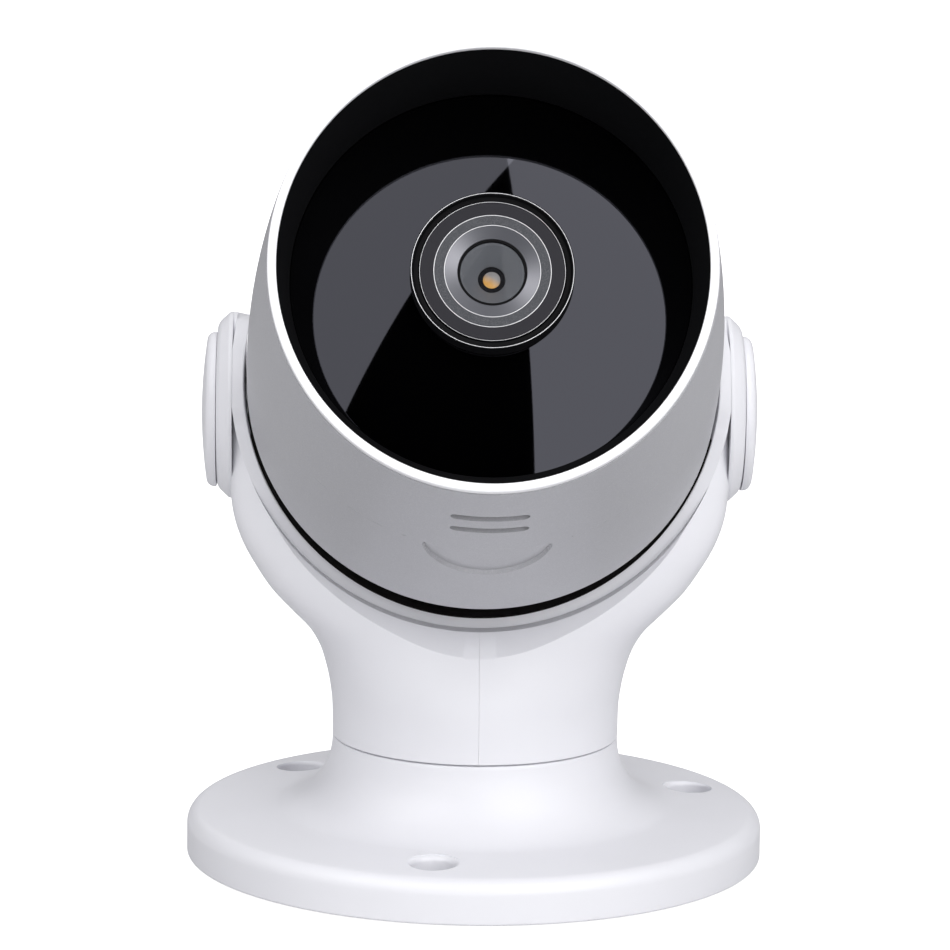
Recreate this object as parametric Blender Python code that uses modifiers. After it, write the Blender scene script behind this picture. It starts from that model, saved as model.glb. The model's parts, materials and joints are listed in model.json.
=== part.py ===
"""Outdoor bullet camera on a swivelling yoke, modelled as it comes apart on the bench.

Frame: metres, +Z up, origin at the middle of the base's underside. The lens looks along -Y and up.
The yoke turns on the base about Z (pan) and the head tips in the yoke about X (tilt).
Head pieces are drawn along their own axis (local Z forward, local Y up) under an empty on the tilt axis.
"""
import math

import bmesh
import bpy

MM = 0.001
GAP = 0.3                       # clearance between pieces that touch

# Base, mm
BASE_RADIUS = 45.0
BASE_EDGE_HEIGHT = 6.9
BASE_TURN_DEG = -11.0           # how far the base's hole pattern is turned from the head
HOLE_CIRCLE_RADIUS = 36.6
HOLE_RADIUS = 3.45
SCREW_SHANK_RADIUS = 2.2
HOLE_SEAT_HEIGHT = 3.4
PAD_THICKNESS = 1.2
PAD_RADIUS = 40.5

# Swivel, mm
NECK_RADIUS = 22.3
SEAM_HEIGHT = 18.9
SPIGOT_RADIUS = 11.5
SPIGOT_BORE_RADIUS = 7.0
SPIGOT_TOP = 31.0
FLANGE_TOP = 23.0

# Yoke, mm
PIVOT_HEIGHT = 69.9
BORE_CENTRE_HEIGHT = 76.9       # centre of the round the yoke leaves for the head
LINER_INNER_RADIUS = 36.2
BORE_RADIUS = 38.25
CHAMFER = 2.8
ARM_TOP_CENTRE = 70.6
ARM_TOP_RADIUS = 14.4
ARM_HALF_SPAN = 38.3
BOSS_HALF_SPAN = 40.5
CAP_RADIUS = 11.95
CAP_HALF_SPAN = 42.9
WALL = 2.2
SEAT_HALF_SPAN = 35.9           # flat seats on the liner for the friction washers
WASHER_RADIUS = 9.0
HEAD_BOSS_HALF_SPAN = 34.4
BOLT_HEAD_RADIUS = 6.0
BOLT_POCKET = 39.0
FASTENER_HEIGHT = 20.9          # dowel and screw that hold the yoke's halves together
LINER_SEAT_HALF_DEPTH = 14.2    # the liner's half depth at the pivots
LINER_FOOT_HALF_DEPTH = 17.2    # and at the foot of the round

# Head, mm along the barrel axis from the tilt axis
TILT_DEG = 27.0
SHELL_REAR = 15.2
SHELL_REAR_RADIUS = 35.4
RIM_CENTRE = 73.4
RIM_DROP = 3.4                  # how much the shell narrows from its rear edge to the rim
RIM_RAKE_DEG = 9.3              # the rim leans forward at the top
TRIM_DEPTH = 1.2
RIM_WIDTH = 1.3
WINDOW_EDGE = 62.2
WINDOW_RADIUS = 28.9
WINDOW_DOME_RADIUS = 104.0
BEZEL_RADIUS = 11.65
BEZEL_FRONT = 68.7
DOME_RADIUS = 28.6
PIN_RADIUS = 4.0

SEGMENTS = 36
SMALL_SEGMENTS = 16

MATERIALS = {
    "white_plastic": ((0.80, 0.80, 0.82), 0.45, 0.0),
    "silver_paint": ((0.42, 0.42, 0.44), 0.38, 0.7),
    "bright_trim": ((0.92, 0.92, 0.93), 0.15, 0.6),
    "black_plastic": ((0.012, 0.012, 0.013), 0.55, 0.0),
    "gloss_black": ((0.008, 0.008, 0.010), 0.06, 0.0),
    "clear_glass": ((0.60, 0.64, 0.70), 0.03, 0.0),
    "filter_glass": ((0.25, 0.45, 0.40), 0.05, 0.0),
    "dark_metal": ((0.10, 0.10, 0.11), 0.35, 0.9),
    "steel": ((0.56, 0.57, 0.58), 0.30, 1.0),
    "brass": ((0.72, 0.55, 0.28), 0.35, 1.0),
    "rubber": ((0.03, 0.03, 0.03), 0.85, 0.0),
    "board_green": ((0.03, 0.16, 0.07), 0.50, 0.0),
    "chip_black": ((0.02, 0.02, 0.02), 0.45, 0.0),
    "grey_mesh": ((0.16, 0.16, 0.17), 0.70, 0.5),
}


# ---------------------------------------------------------------- scene helpers
def clear_scene():
    for item in list(bpy.data.objects):
        bpy.data.objects.remove(item, do_unlink=True)


def new_collection(name):
    group = bpy.data.collections.new(name)
    bpy.context.scene.collection.children.link(group)
    return group


def make_material(name):
    colour, roughness, metallic = MATERIALS[name]
    material = bpy.data.materials.new(name)
    material.use_nodes = True
    shader = material.node_tree.nodes["Principled BSDF"]
    shader.inputs["Base Color"].default_value = (*colour, 1.0)
    shader.inputs["Roughness"].default_value = roughness
    shader.inputs["Metallic"].default_value = metallic
    return material


clear_scene()
CAMERA = new_collection("bullet_camera")
CUTTERS = new_collection("cutters")
PALETTE = {name: make_material(name) for name in MATERIALS}

TILT_AXIS = bpy.data.objects.new("tilt_axis", None)
TILT_AXIS.location = (0.0, 0.0, PIVOT_HEIGHT * MM)
TILT_AXIS.rotation_euler = (math.radians(90.0 - TILT_DEG), 0.0, 0.0)
CAMERA.objects.link(TILT_AXIS)


def add_object(name, mesh, material=None, parent=None, place=(0, 0, 0), turn=(0, 0, 0)):
    """Put a mesh in the scene as a named piece, or as a cutter when it has no material."""
    item = bpy.data.objects.new(name, mesh)
    item.location = [value * MM for value in place]
    item.rotation_euler = [math.radians(angle) for angle in turn]
    item.parent = parent
    if material:
        mesh.materials.append(PALETTE[material])
        mesh.shade_smooth()
        mesh.set_sharp_from_angle(angle=math.radians(30))
        CAMERA.objects.link(item)
    else:
        item.hide_render = True
        item.display_type = "WIRE"
        CUTTERS.objects.link(item)
    return item


def mesh_from(bm, name):
    bmesh.ops.recalc_face_normals(bm, faces=bm.faces)
    mesh = bpy.data.meshes.new(name)
    bm.to_mesh(mesh)
    bm.free()
    return mesh


def boolean(item, cutter, operation="DIFFERENCE"):
    modifier = item.modifiers.new(operation.lower(), "BOOLEAN")
    modifier.operation = operation
    modifier.object = cutter
    modifier.solver = "EXACT"
    return item


# ---------------------------------------------------------------- shape helpers
def arc(centre_r, centre_z, radius, start_deg, end_deg, steps):
    """Points of a round stretch of a profile, from one angle to another."""
    points = []
    for step in range(steps + 1):
        angle = math.radians(start_deg + (end_deg - start_deg) * step / steps)
        points.append((centre_r + radius * math.cos(angle), centre_z + radius * math.sin(angle)))
    return points


def turned(name, profile, material=None, segments=SEGMENTS, closed=True, **placing):
    """A profile of (radius, height) points turned about Z, drawn down its outer side."""
    bm = bmesh.new()
    verts = [bm.verts.new((radius * MM, 0.0, height * MM)) for radius, height in profile]
    pairs = list(zip(verts, verts[1:]))
    if closed:
        pairs.append((verts[-1], verts[0]))
    for first, second in pairs:
        bm.edges.new((first, second))
    mesh = bpy.data.meshes.new(name)
    bm.to_mesh(mesh)
    bm.free()
    item = add_object(name, mesh, material, **placing)
    screw = item.modifiers.new("turn", "SCREW")
    screw.steps = segments
    screw.render_steps = segments
    screw.use_merge_vertices = True
    screw.merge_threshold = 0.00005
    screw.use_smooth_shade = True
    return item


def ring(name, outer, inner, low, high, material=None, **options):
    """A plain turned ring, or a disc when the inner radius is zero."""
    if inner <= 0.0:
        return turned(name, [(0, high), (outer, high), (outer, low), (0, low)],
                      material, closed=False, **options)
    return turned(name, [(outer, high), (outer, low), (inner, low), (inner, high)], material, **options)


def box(name, size, material=None, bevel=0.0, **placing):
    bm = bmesh.new()
    bmesh.ops.create_cube(bm, size=1.0)
    bmesh.ops.scale(bm, verts=bm.verts, vec=[value * MM for value in size])
    item = add_object(name, mesh_from(bm, name), material, **placing)
    if bevel:
        edge = item.modifiers.new("edges", "BEVEL")
        edge.width = bevel * MM
        edge.segments = 2
    return item


def loft(name, loops, material=None, ring_shape=False, **placing):
    """A closed solid through loops of points: capped at both ends, or joined last to first."""
    bm = bmesh.new()
    rows = [[bm.verts.new([value * MM for value in point]) for point in points] for points in loops]
    count = len(rows[0])
    row_pairs = list(zip(rows, rows[1:]))
    if ring_shape:
        row_pairs.append((rows[-1], rows[0]))
    else:
        bm.faces.new(rows[0])
        bm.faces.new(rows[-1])
    for row, following in row_pairs:
        for index in range(count):
            after = (index + 1) % count
            bm.faces.new((row[index], row[after], following[after], following[index]))
    bmesh.ops.triangulate(bm, faces=bm.faces)
    return add_object(name, mesh_from(bm, name), material, **placing)


def rods(name, radius, low, high, places, parent=None, segments=SMALL_SEGMENTS):
    """One cutter made of equal rods along Z at several places."""
    bm = bmesh.new()
    for x, y in places:
        rod = bmesh.ops.create_cone(bm, cap_ends=True, segments=segments, radius1=radius * MM,
                                    radius2=radius * MM, depth=(high - low) * MM)
        bmesh.ops.translate(bm, verts=rod["verts"], vec=(x * MM, y * MM, (low + high) / 2 * MM))
    return add_object(name, mesh_from(bm, name), parent=parent)


def headed_screw(name, radius, low, high, head_radius, head_height, place, parent, turn=(0, 0, 0)):
    """A cheese-head screw along Z with its head at the low end."""
    profile = [(0, high), (radius, high), (radius, low), (head_radius, low), (head_radius, low - head_height),
               (0, low - head_height)]
    return turned(name, profile, "steel", segments=12, closed=False, place=(*place, 0), turn=turn, parent=parent)


# ---------------------------------------------------------------- base
def hole_places():
    """The three screw holes, evenly spaced on their circle."""
    for index in range(3):
        angle = math.radians(-90.0 + BASE_TURN_DEG + 120.0 * index)
        yield HOLE_CIRCLE_RADIUS * math.cos(angle), HOLE_CIRCLE_RADIUS * math.sin(angle)


def base_plate():
    """A thick disc that sweeps up to the neck, with a hollow spigot for the swivel."""
    edge = 2.4
    flare = arc(NECK_RADIUS + 10.0, SEAM_HEIGHT - GAP, 10.0, 180, 258, 5)
    flare = [(radius, SEAM_HEIGHT - GAP + (height - SEAM_HEIGHT + GAP) * 1.08) for radius, height in flare]
    profile = [(SPIGOT_RADIUS, SPIGOT_TOP), (SPIGOT_RADIUS, SEAM_HEIGHT - GAP), (NECK_RADIUS - 0.4, SEAM_HEIGHT - GAP)]
    profile += flare
    profile += arc(BASE_RADIUS - edge, BASE_EDGE_HEIGHT - edge, edge, 80, 0, 3)
    profile += [(BASE_RADIUS, 0.6), (BASE_RADIUS - 0.6, 0.0), (PAD_RADIUS + GAP, 0.0),
                (PAD_RADIUS + GAP, PAD_THICKNESS + GAP), (SPIGOT_BORE_RADIUS, PAD_THICKNESS + GAP),
                (SPIGOT_BORE_RADIUS, SPIGOT_TOP)]
    plate = turned("base_plate", profile, "white_plastic", segments=44)
    boolean(plate, rods("base_hole_cut", HOLE_RADIUS, HOLE_SEAT_HEIGHT, 15.0, hole_places()))
    boolean(plate, rods("base_shank_cut", SCREW_SHANK_RADIUS, -2.0, 5.0, hole_places()))


def base_pad():
    """A thin rubber pad let into the underside, so the base grips and seals."""
    pad = ring("base_pad", PAD_RADIUS, 0.0, 0.0, PAD_THICKNESS, "rubber")
    boolean(pad, rods("pad_hole_cut", SCREW_SHANK_RADIUS + 0.8, -2.0, 3.0, hole_places()))


# ---------------------------------------------------------------- swivel
def swivel():
    ring("swivel_bush", SPIGOT_RADIUS + 1.5, SPIGOT_RADIUS + GAP / 2, SEAM_HEIGHT + GAP, FLANGE_TOP - GAP,
         "brass", segments=24)
    ring("swivel_washer", 16.0, SPIGOT_RADIUS + GAP, FLANGE_TOP + GAP, FLANGE_TOP + 1.1, "steel", segments=24)
    ring("swivel_nut", 15.6, SPIGOT_RADIUS + 3 * GAP, FLANGE_TOP + 1.4, FLANGE_TOP + 5.4, "steel", segments=12)


# ---------------------------------------------------------------- yoke
YOKE_OUTLINE = [(19.2, 22.3), (25.0, 22.5), (30.0, 23.4), (34.0, 24.7), (37.0, 26.4), (40.0, 29.1),
                (43.4, 32.1), (47.0, 34.4), (51.0, 36.5), (55.0, 37.8), (59.0, 38.3), (64.0, 38.3)]


def smooth_between(points, value):
    """A Catmull-Rom curve through (position, size) points, read at one position."""
    last = len(points) - 1
    index = max(i for i in range(last) if points[i][0] <= value or i == 0)
    before, start = points[max(index - 1, 0)], points[index]
    end, after = points[index + 1], points[min(index + 2, last)]
    span = end[0] - start[0]
    t = min(max((value - start[0]) / span, 0.0), 1.0)
    slope_in = (end[1] - before[1]) / (end[0] - before[0]) * span
    slope_out = (after[1] - start[1]) / (after[0] - start[0]) * span
    return ((2 * t ** 3 - 3 * t ** 2 + 1) * start[1] + (t ** 3 - 2 * t ** 2 + t) * slope_in
            + (3 * t ** 2 - 2 * t ** 3) * end[1] + (t ** 3 - t ** 2) * slope_out)


YOKE_DEPTH = [(19.2, 22.3), (28.0, 22.2), (36.0, 20.4), (48.0, 18.0), (60.0, 15.6), (70.6, 14.4)]
YOKE_SQUARENESS = [(19.2, 2.0), (26.0, 2.05), (34.0, 2.5), (44.0, 4.2), (56.0, 7.0), (70.6, 9.0)]


def yoke_section(height, inset=0.0, count=40):
    """One level of the yoke: a circle at the neck that squares off into the arms."""
    level = min(height, ARM_TOP_CENTRE)
    half_width = smooth_between(YOKE_OUTLINE, level) - inset
    half_depth = smooth_between(YOKE_DEPTH, level) - inset
    if height > ARM_TOP_CENTRE:
        rise = height - ARM_TOP_CENTRE
        half_depth = math.sqrt(max(ARM_TOP_RADIUS ** 2 - rise ** 2, 0.04)) - inset
    power = 2.0 / smooth_between(YOKE_SQUARENESS, level)
    points = []
    for index in range(count):
        angle = 2.0 * math.pi * (index + 0.5) / count
        cosine, sine = math.cos(angle), math.sin(angle)
        points.append((half_width * math.copysign(abs(cosine) ** power, cosine),
                       half_depth * math.copysign(abs(sine) ** power, sine), height))
    return points


def yoke_levels(top_angles):
    levels = [19.2, 27.0, 33.0, 37.0, 41.0, 45.0, 50.0, 55.0, 60.0, ARM_TOP_CENTRE]
    return levels + [ARM_TOP_CENTRE + ARM_TOP_RADIUS * math.sin(math.radians(angle)) for angle in top_angles]


def lean(height):
    """The liner's half depth at a height: deep at the foot, shallow at the pivots."""
    foot = BORE_CENTRE_HEIGHT - LINER_INNER_RADIUS
    share = min(max((height - foot) / (PIVOT_HEIGHT - foot), 0.0), 1.0)
    return LINER_FOOT_HALF_DEPTH + (LINER_SEAT_HALF_DEPTH - LINER_FOOT_HALF_DEPTH) * share


def bore_cutter(name):
    """The round space of the yoke with a chamfer at each mouth, which leans with the front."""
    count = 48
    mouth = CHAMFER + 6.0
    loops = []
    for side, widening in ((-1.0, (mouth, mouth, 0.0)), (1.0, (0.0, mouth, mouth))):
        for order, widen in enumerate(widening):
            outermost = order == (0 if side < 0 else 2)
            loop = []
            for index in range(count):
                angle = 2.0 * math.pi * index / count
                radius = BORE_RADIUS + widen
                seat = lean(BORE_CENTRE_HEIGHT + BORE_RADIUS * math.sin(angle))
                depth = 45.0 if outermost else seat + widen
                loop.append((radius * math.cos(angle), side * depth, BORE_CENTRE_HEIGHT + radius * math.sin(angle)))
            loops.append(loop)
    return loft(name, loops)


def pivot_boss(name, side):
    """The raised round on an arm that the pivot cap sits on."""
    reach = BOSS_HALF_SPAN - ARM_HALF_SPAN
    profile = [(0.0, reach), (12.3, reach), (13.2, reach - 0.35), (ARM_TOP_RADIUS, 0.0),
               (ARM_TOP_RADIUS, -0.3), (0.0, -0.3)]
    return turned(name, profile, None, segments=32, closed=False,
                  place=(side * ARM_HALF_SPAN, 0.0, ARM_TOP_CENTRE), turn=(0, side * 90.0, 0))


def pivot_cutter(side):
    """The stepped bore of one pivot: washer seat, bolt hole and the pocket for the bolt's head."""
    seat, hole, pocket = WASHER_RADIUS + 1.0, PIN_RADIUS + GAP, BOLT_HEAD_RADIUS + GAP
    profile = [(0, 50.0), (pocket, 50.0), (pocket, BOLT_POCKET), (hole, BOLT_POCKET), (hole, SEAT_HALF_SPAN),
               (seat, SEAT_HALF_SPAN), (seat, 20.0), (0, 20.0)]
    return turned(f"pivot_bore_{side + 1}", profile, segments=24, closed=False, place=(0, 0, PIVOT_HEIGHT),
                  turn=(0, side * 90, 0))


PIVOT_CUTTERS = {-1: pivot_cutter(-1), 1: pivot_cutter(1)}


def yoke_half(name, side):
    """Half of the yoke, parted on the middle plane, with a neck cavity and a flange for the swivel."""
    top_angles = (30, 52, 70, 85)
    half = loft(name, [yoke_section(level) for level in yoke_levels(top_angles)], "white_plastic")
    boolean(half, pivot_boss(name + "_boss", side), "UNION")
    boolean(half, bore_cutter(name + "_bore"))
    boolean(half, box(name + "_parting", (120, 120, 140), place=(-side * (60.0 - GAP / 2), 0, 60)))
    cavity = [yoke_section(level, WALL) for level in (FLANGE_TOP, 27.0, 31.0, 34.0, 35.6)]
    boolean(half, loft(name + "_cavity", cavity))
    boolean(half, ring(name + "_neck_bore", SPIGOT_RADIUS + 2.0, 0.0, 10.0, 26.0, segments=24))
    boolean(half, ring(name + "_grommet_seat", 3.6, 0.0, 15.0, 25.0, segments=24,
                       place=(0, 0, 29.0), turn=(-90, 0, 0)))
    boolean(half, PIVOT_CUTTERS[side])
    boolean(half, ring(name + "_dowel_hole", 1.5, 0.0, -8.0, 8.0, segments=12,
                       place=(0, -15.0, FASTENER_HEIGHT), turn=(0, 90, 0)))
    boolean(half, ring(name + "_screw_hole", 1.5, 0.0, -19.0, 19.0, segments=12,
                       place=(0, 15.0, FASTENER_HEIGHT), turn=(0, 90, 0)))


def yoke_liner():
    """The strip inside the yoke's round that closes both halves."""
    count = 32
    start, end = math.radians(-191.0), math.radians(11.0)
    loops = []
    for index in range(count + 1):
        angle = start + (end - start) * index / count
        edge_height = BORE_CENTRE_HEIGHT + BORE_RADIUS * math.sin(angle)
        rise = max(edge_height - ARM_TOP_CENTRE, 0.0)
        depth = min(lean(edge_height), math.sqrt(ARM_TOP_RADIUS ** 2 - rise ** 2) - 0.4)
        corners = []
        for radius, side in ((LINER_INNER_RADIUS, -1), (LINER_INNER_RADIUS, 1),
                             (BORE_RADIUS - GAP, 1), (BORE_RADIUS - GAP, -1)):
            corners.append((radius * math.cos(angle), side * depth,
                            BORE_CENTRE_HEIGHT + radius * math.sin(angle)))
        loops.append(corners)
    liner = loft("yoke_liner", loops, "white_plastic")
    for side in (-1, 1):
        boolean(liner, PIVOT_CUTTERS[side])


def yoke_small_parts():
    ring("yoke_dowel", 1.2, 0.0, -7.5, 7.5, "steel", segments=12,
         place=(0, -15.0, FASTENER_HEIGHT), turn=(0, 90, 0))
    ring("yoke_screw", 1.2, 0.0, -14.5, 14.5, "steel", segments=12,
         place=(0, 15.0, FASTENER_HEIGHT), turn=(0, 90, 0))
    turned("lead_grommet", [(4.8, 24.0), (4.8, 22.6), (3.3, 22.6), (3.3, 17.5), (2.1, 17.5), (2.1, 24.0)],
           "rubber", segments=24, place=(0, 0, 29.0), turn=(-90, 0, 0))


def pivot_hardware(side, word):
    """Bolt, nut, friction washer and cap of one pivot, drawn along X on the tilt axis."""
    placing = {"place": (0, 0, PIVOT_HEIGHT), "turn": (0, side * 90, 0)}
    turned("pivot_bolt_" + word, [(0, 41.4), (BOLT_HEAD_RADIUS, 41.4), (BOLT_HEAD_RADIUS, 39.3),
                                  (PIN_RADIUS, 39.3), (PIN_RADIUS, 21.4), (0, 21.4)],
           "steel", segments=24, closed=False, **placing)
    ring("pivot_nut_" + word, 7.0, PIN_RADIUS + 3 * GAP, 21.2, 24.4, "brass", segments=6, **placing)
    ring("friction_washer_" + word, WASHER_RADIUS, PIN_RADIUS + GAP, HEAD_BOSS_HALF_SPAN + GAP,
         SEAT_HALF_SPAN - GAP, "rubber", segments=24, **placing)
    base = BOSS_HALF_SPAN + GAP
    profile = [(0, CAP_HALF_SPAN)] + arc(CAP_RADIUS - 1.6, CAP_HALF_SPAN - 1.6, 1.6, 90, 0, 4)
    profile += [(CAP_RADIUS, base), (CAP_RADIUS - 1.6, base), (CAP_RADIUS - 1.6, base + 1.0), (0, base + 1.0)]
    turned("pivot_cap_" + word, profile, "white_plastic", segments=32, closed=False, **placing)


# ---------------------------------------------------------------- head: skins
def shell_radius(station):
    """The shell swells back from the rim and ends as a cylinder."""
    share = (station - SHELL_REAR) / (RIM_CENTRE - SHELL_REAR)
    return SHELL_REAR_RADIUS - RIM_DROP * share ** 2


def rim_station(angle):
    """Where the raked rim crosses the shell at an angle from the top of the barrel."""
    station = RIM_CENTRE
    for _ in range(6):
        station = RIM_CENTRE + shell_radius(station) * math.cos(angle) * math.tan(math.radians(RIM_RAKE_DEG))
    return station


def head_loops(rules, count=SEGMENTS):
    """Loops round the barrel axis; each rule gives (radius, station) at an angle from the top."""
    loops = []
    for rule in rules:
        loop = []
        for index in range(count):
            angle = 2.0 * math.pi * index / count
            radius, station = rule(angle)
            loop.append((radius * math.sin(angle), radius * math.cos(angle), station))
        loops.append(loop)
    return loops


def shell_rule(share, wall):
    """A loop a share of the way from the rear edge to the trim, inset by a wall."""
    def rule(angle):
        front = rim_station(angle) - TRIM_DEPTH - GAP
        station = SHELL_REAR + (front - SHELL_REAR) * share
        return shell_radius(station) - wall, station
    return rule


def slot_outline(length, width, steps=5):
    """A slot with round ends as points in its own plane."""
    straight = (length - width) / 2
    right = arc(straight, 0.0, width / 2, -90, 90, steps)
    left = arc(-straight, 0.0, width / 2, 90, 270, steps)
    return right + left


def silver_shell():
    """The silver sleeve, with two sound slots and a shallow thumb scoop underneath."""
    outer = [shell_rule(share, 0.0) for share in (0.0, 0.2, 0.4, 0.6, 0.8, 1.0)]
    inner = [shell_rule(1.0, 0.65), shell_rule(0.9, 1.2), shell_rule(0.45, 1.2), shell_rule(0.0, 1.2)]
    shell = loft("silver_shell", head_loops(outer + inner, 44), "silver_paint", ring_shape=True, parent=TILT_AXIS)
    for index, station in enumerate((53.1, 57.7)):
        loops = [[(x, depth, station + z) for x, z in slot_outline(11.4, 1.8)] for depth in (-38.0, -28.0)]
        boolean(shell, loft(f"sound_slot_{index}", loops, parent=TILT_AXIS))
    scoop = [(44.4, -33.3), (44.4, -40.0), (33.0, -40.0), (35.4, -34.75)]
    loops = [[(x, y, z) for z, y in scoop] for x in (-14.0, 14.0)]
    boolean(shell, loft("thumb_scoop", loops, parent=TILT_AXIS))


def rim_trim():
    """The bright ring that finishes the hood's raked mouth."""
    def rule(inset, back):
        return lambda angle: (shell_radius(rim_station(angle)) - inset, rim_station(angle) - back)
    rules = [rule(0.0, TRIM_DEPTH), rule(0.0, 0.4), rule(0.35, 0.0), rule(RIM_WIDTH - 0.2, 0.0),
             rule(RIM_WIDTH, 0.25), rule(RIM_WIDTH, TRIM_DEPTH)]
    loft("rim_trim", head_loops(rules, 44), "bright_trim", ring_shape=True, parent=TILT_AXIS)


def hood_liner():
    """The matt black funnel from the rim back to the window's edge."""
    def front(inset):
        return lambda angle: (shell_radius(rim_station(angle)) - inset, rim_station(angle) - TRIM_DEPTH - GAP)
    rules = [lambda angle: (30.7, WINDOW_EDGE + GAP), front(RIM_WIDTH - 0.35), front(RIM_WIDTH),
             lambda angle: (WINDOW_RADIUS, WINDOW_EDGE + GAP)]
    loft("hood_liner", head_loops(rules, 44), "black_plastic", ring_shape=True, parent=TILT_AXIS)


def dome_station(radius):
    """Front surface of the domed window."""
    edge = math.sqrt(WINDOW_DOME_RADIUS ** 2 - WINDOW_RADIUS ** 2)
    return WINDOW_EDGE + math.sqrt(WINDOW_DOME_RADIUS ** 2 - radius ** 2) - edge


def front_window():
    radii = [10.9, 15.0, 20.0, 25.0, 29.7]
    front = [(radius, dome_station(radius)) for radius in radii]
    back = [(radius, dome_station(radius) - 1.8) for radius in radii[::-1]]
    turned("front_window", front + back, "gloss_black", parent=TILT_AXIS)
    ring("window_gasket", 29.7, 27.4, 58.7, 59.7, "rubber", parent=TILT_AXIS)


def rear_housing():
    """The white rear cover: a rounded rim behind the silver shell and a ball-shaped back."""
    seam = SHELL_REAR - GAP
    wall = 2.4
    shoulder = math.degrees(math.asin(10.0 / DOME_RADIUS))
    rim = [(31.6, seam)] + arc(30.1, seam, 4.8, 0, -90, 4)
    ball = arc(0.0, 0.0, DOME_RADIUS, shoulder, -90, 7)
    hollow = arc(0.0, 0.0, DOME_RADIUS - wall, -90, shoulder, 6)
    profile = rim + ball[:-1] + [(0.0, -DOME_RADIUS), (0.0, wall - DOME_RADIUS)] + hollow[1:]
    profile += [(24.5, 12.5), (31.6, 12.5)]
    housing = turned("rear_housing", profile, "white_plastic", segments=32, parent=TILT_AXIS)
    for side in (-1, 1):
        boss = ring(f"housing_boss_{side + 1}", WASHER_RADIUS, 0.0, 24.8, HEAD_BOSS_HALF_SPAN, segments=24,
                    parent=TILT_AXIS, turn=(0, side * 90, 0))
        boolean(housing, boss, "UNION")
        post = ring(f"reset_post_{side + 1}", 1.6, 0.0, -26.0, -21.2, segments=12,
                    parent=TILT_AXIS, place=(side * 6.5, 0, 0))
        boolean(housing, post, "UNION")
    boolean(housing, ring("housing_pin_hole", PIN_RADIUS + GAP, 0.0, -40.0, 40.0, segments=24,
                          parent=TILT_AXIS, turn=(0, 90, 0)))
    boolean(housing, ring("reset_hole", 2.2, 0.0, -30.0, -24.0, segments=20, parent=TILT_AXIS))
    boolean(housing, rods("case_screw_hole", 1.5, 5.0, 14.0, case_screw_places(), TILT_AXIS, 12))
    boolean(housing, rods("case_screw_seat", 2.6, 5.0, 11.2, case_screw_places(), TILT_AXIS, 16))


def case_screw_places():
    """Three screws through the rear cover's shoulder into the chassis."""
    for index in range(3):
        angle = math.radians(90.0 + 120.0 * index)
        yield 28.4 * math.cos(angle), 28.4 * math.sin(angle)


# ---------------------------------------------------------------- head: insides
def chassis():
    """The tube that carries the window in front and the boards behind."""
    profile = [(31.2, 61.8), (31.2, 12.8), (29.2, 12.8), (29.2, 55.0), (26.8, 55.0), (26.8, 58.4),
               (30.0, 58.4), (30.0, 61.8)]
    frame = turned("inner_chassis", profile, "black_plastic", parent=TILT_AXIS)
    boolean(frame, rods("chassis_posts", 2.4, 12.8, 18.8, case_screw_places(), TILT_AXIS, 16), "UNION")
    boolean(frame, rods("chassis_post_holes", 1.35, 10.0, 17.8, case_screw_places(), TILT_AXIS, 12))
    boolean(frame, box("sound_port", (10.0, 10.0, 4.0), place=(0, -30.0, 50.0), parent=TILT_AXIS))
    for index, place in enumerate(case_screw_places()):
        headed_screw(f"case_screw_{index + 1}", 1.15, 10.9, 17.4, 2.3, 1.0, place, TILT_AXIS)
    ring("rear_seal", 33.6, 32.0, SHELL_REAR, SHELL_REAR + 1.2, "rubber", parent=TILT_AXIS)


def arc_strip(name, inner, outer, centre_deg, half_deg, low, high, material, steps=10):
    """A thin curved strip that follows the barrel's wall."""
    loops = []
    for step in range(steps + 1):
        angle = math.radians(centre_deg - half_deg + 2 * half_deg * step / steps)
        loops.append([(radius * math.cos(angle), radius * math.sin(angle), height)
                      for radius, height in ((inner, low), (inner, high), (outer, high), (outer, low))])
    loft(name, loops, material, parent=TILT_AXIS)


def lens():
    """The lens as a stack: bezel, retainer, face ring, glasses, iris and barrel."""
    parent = {"parent": TILT_AXIS}
    seat = dome_station(BEZEL_RADIUS) + GAP
    turned("lens_bezel", [(BEZEL_RADIUS - 0.3, BEZEL_FRONT), (BEZEL_RADIUS, BEZEL_FRONT - 0.3),
                          (BEZEL_RADIUS, seat), (10.6, seat), (10.6, 58.0), (8.7, 58.0), (8.7, 66.4),
                          (10.5, 66.4), (10.5, 68.0), (11.2, 68.0), (11.3, BEZEL_FRONT)],
           "gloss_black", segments=24, **parent)
    ring("lens_retainer", 10.2, 8.4, 66.7, 68.3, "black_plastic", segments=28, **parent)
    turned("lens_face_ring", [(8.1, 68.2), (8.1, 66.7), (5.1, 66.7), (5.1, 67.8), (6.8, 68.2)],
           "dark_metal", segments=28, **parent)
    glass_front = [(0, 68.2), (2.4, 68.1), (4.8, 67.8)]
    turned("front_element", glass_front + [(4.8, 66.7), (0, 66.7)], "clear_glass", segments=24,
           closed=False, **parent)
    ring("iris_plate", 4.6, 1.95, 64.6, 65.2, "dark_metal", segments=24, **parent)
    turned("second_element", [(0, 64.2), (1.6, 63.9), (3.8, 62.6), (3.8, 61.4), (0, 61.4)], "clear_glass",
           segments=24, closed=False, **parent)
    turned("lens_barrel", [(8.3, 66.2), (8.3, 46.0), (5.0, 46.0), (5.0, 52.0), (4.2, 52.0), (4.2, 64.3),
                           (4.9, 64.3), (4.9, 66.2)], "black_plastic", segments=28, **parent)


FILTER_TRAVEL = 7.0
FILTER_LEVEL = 41.5


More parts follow.
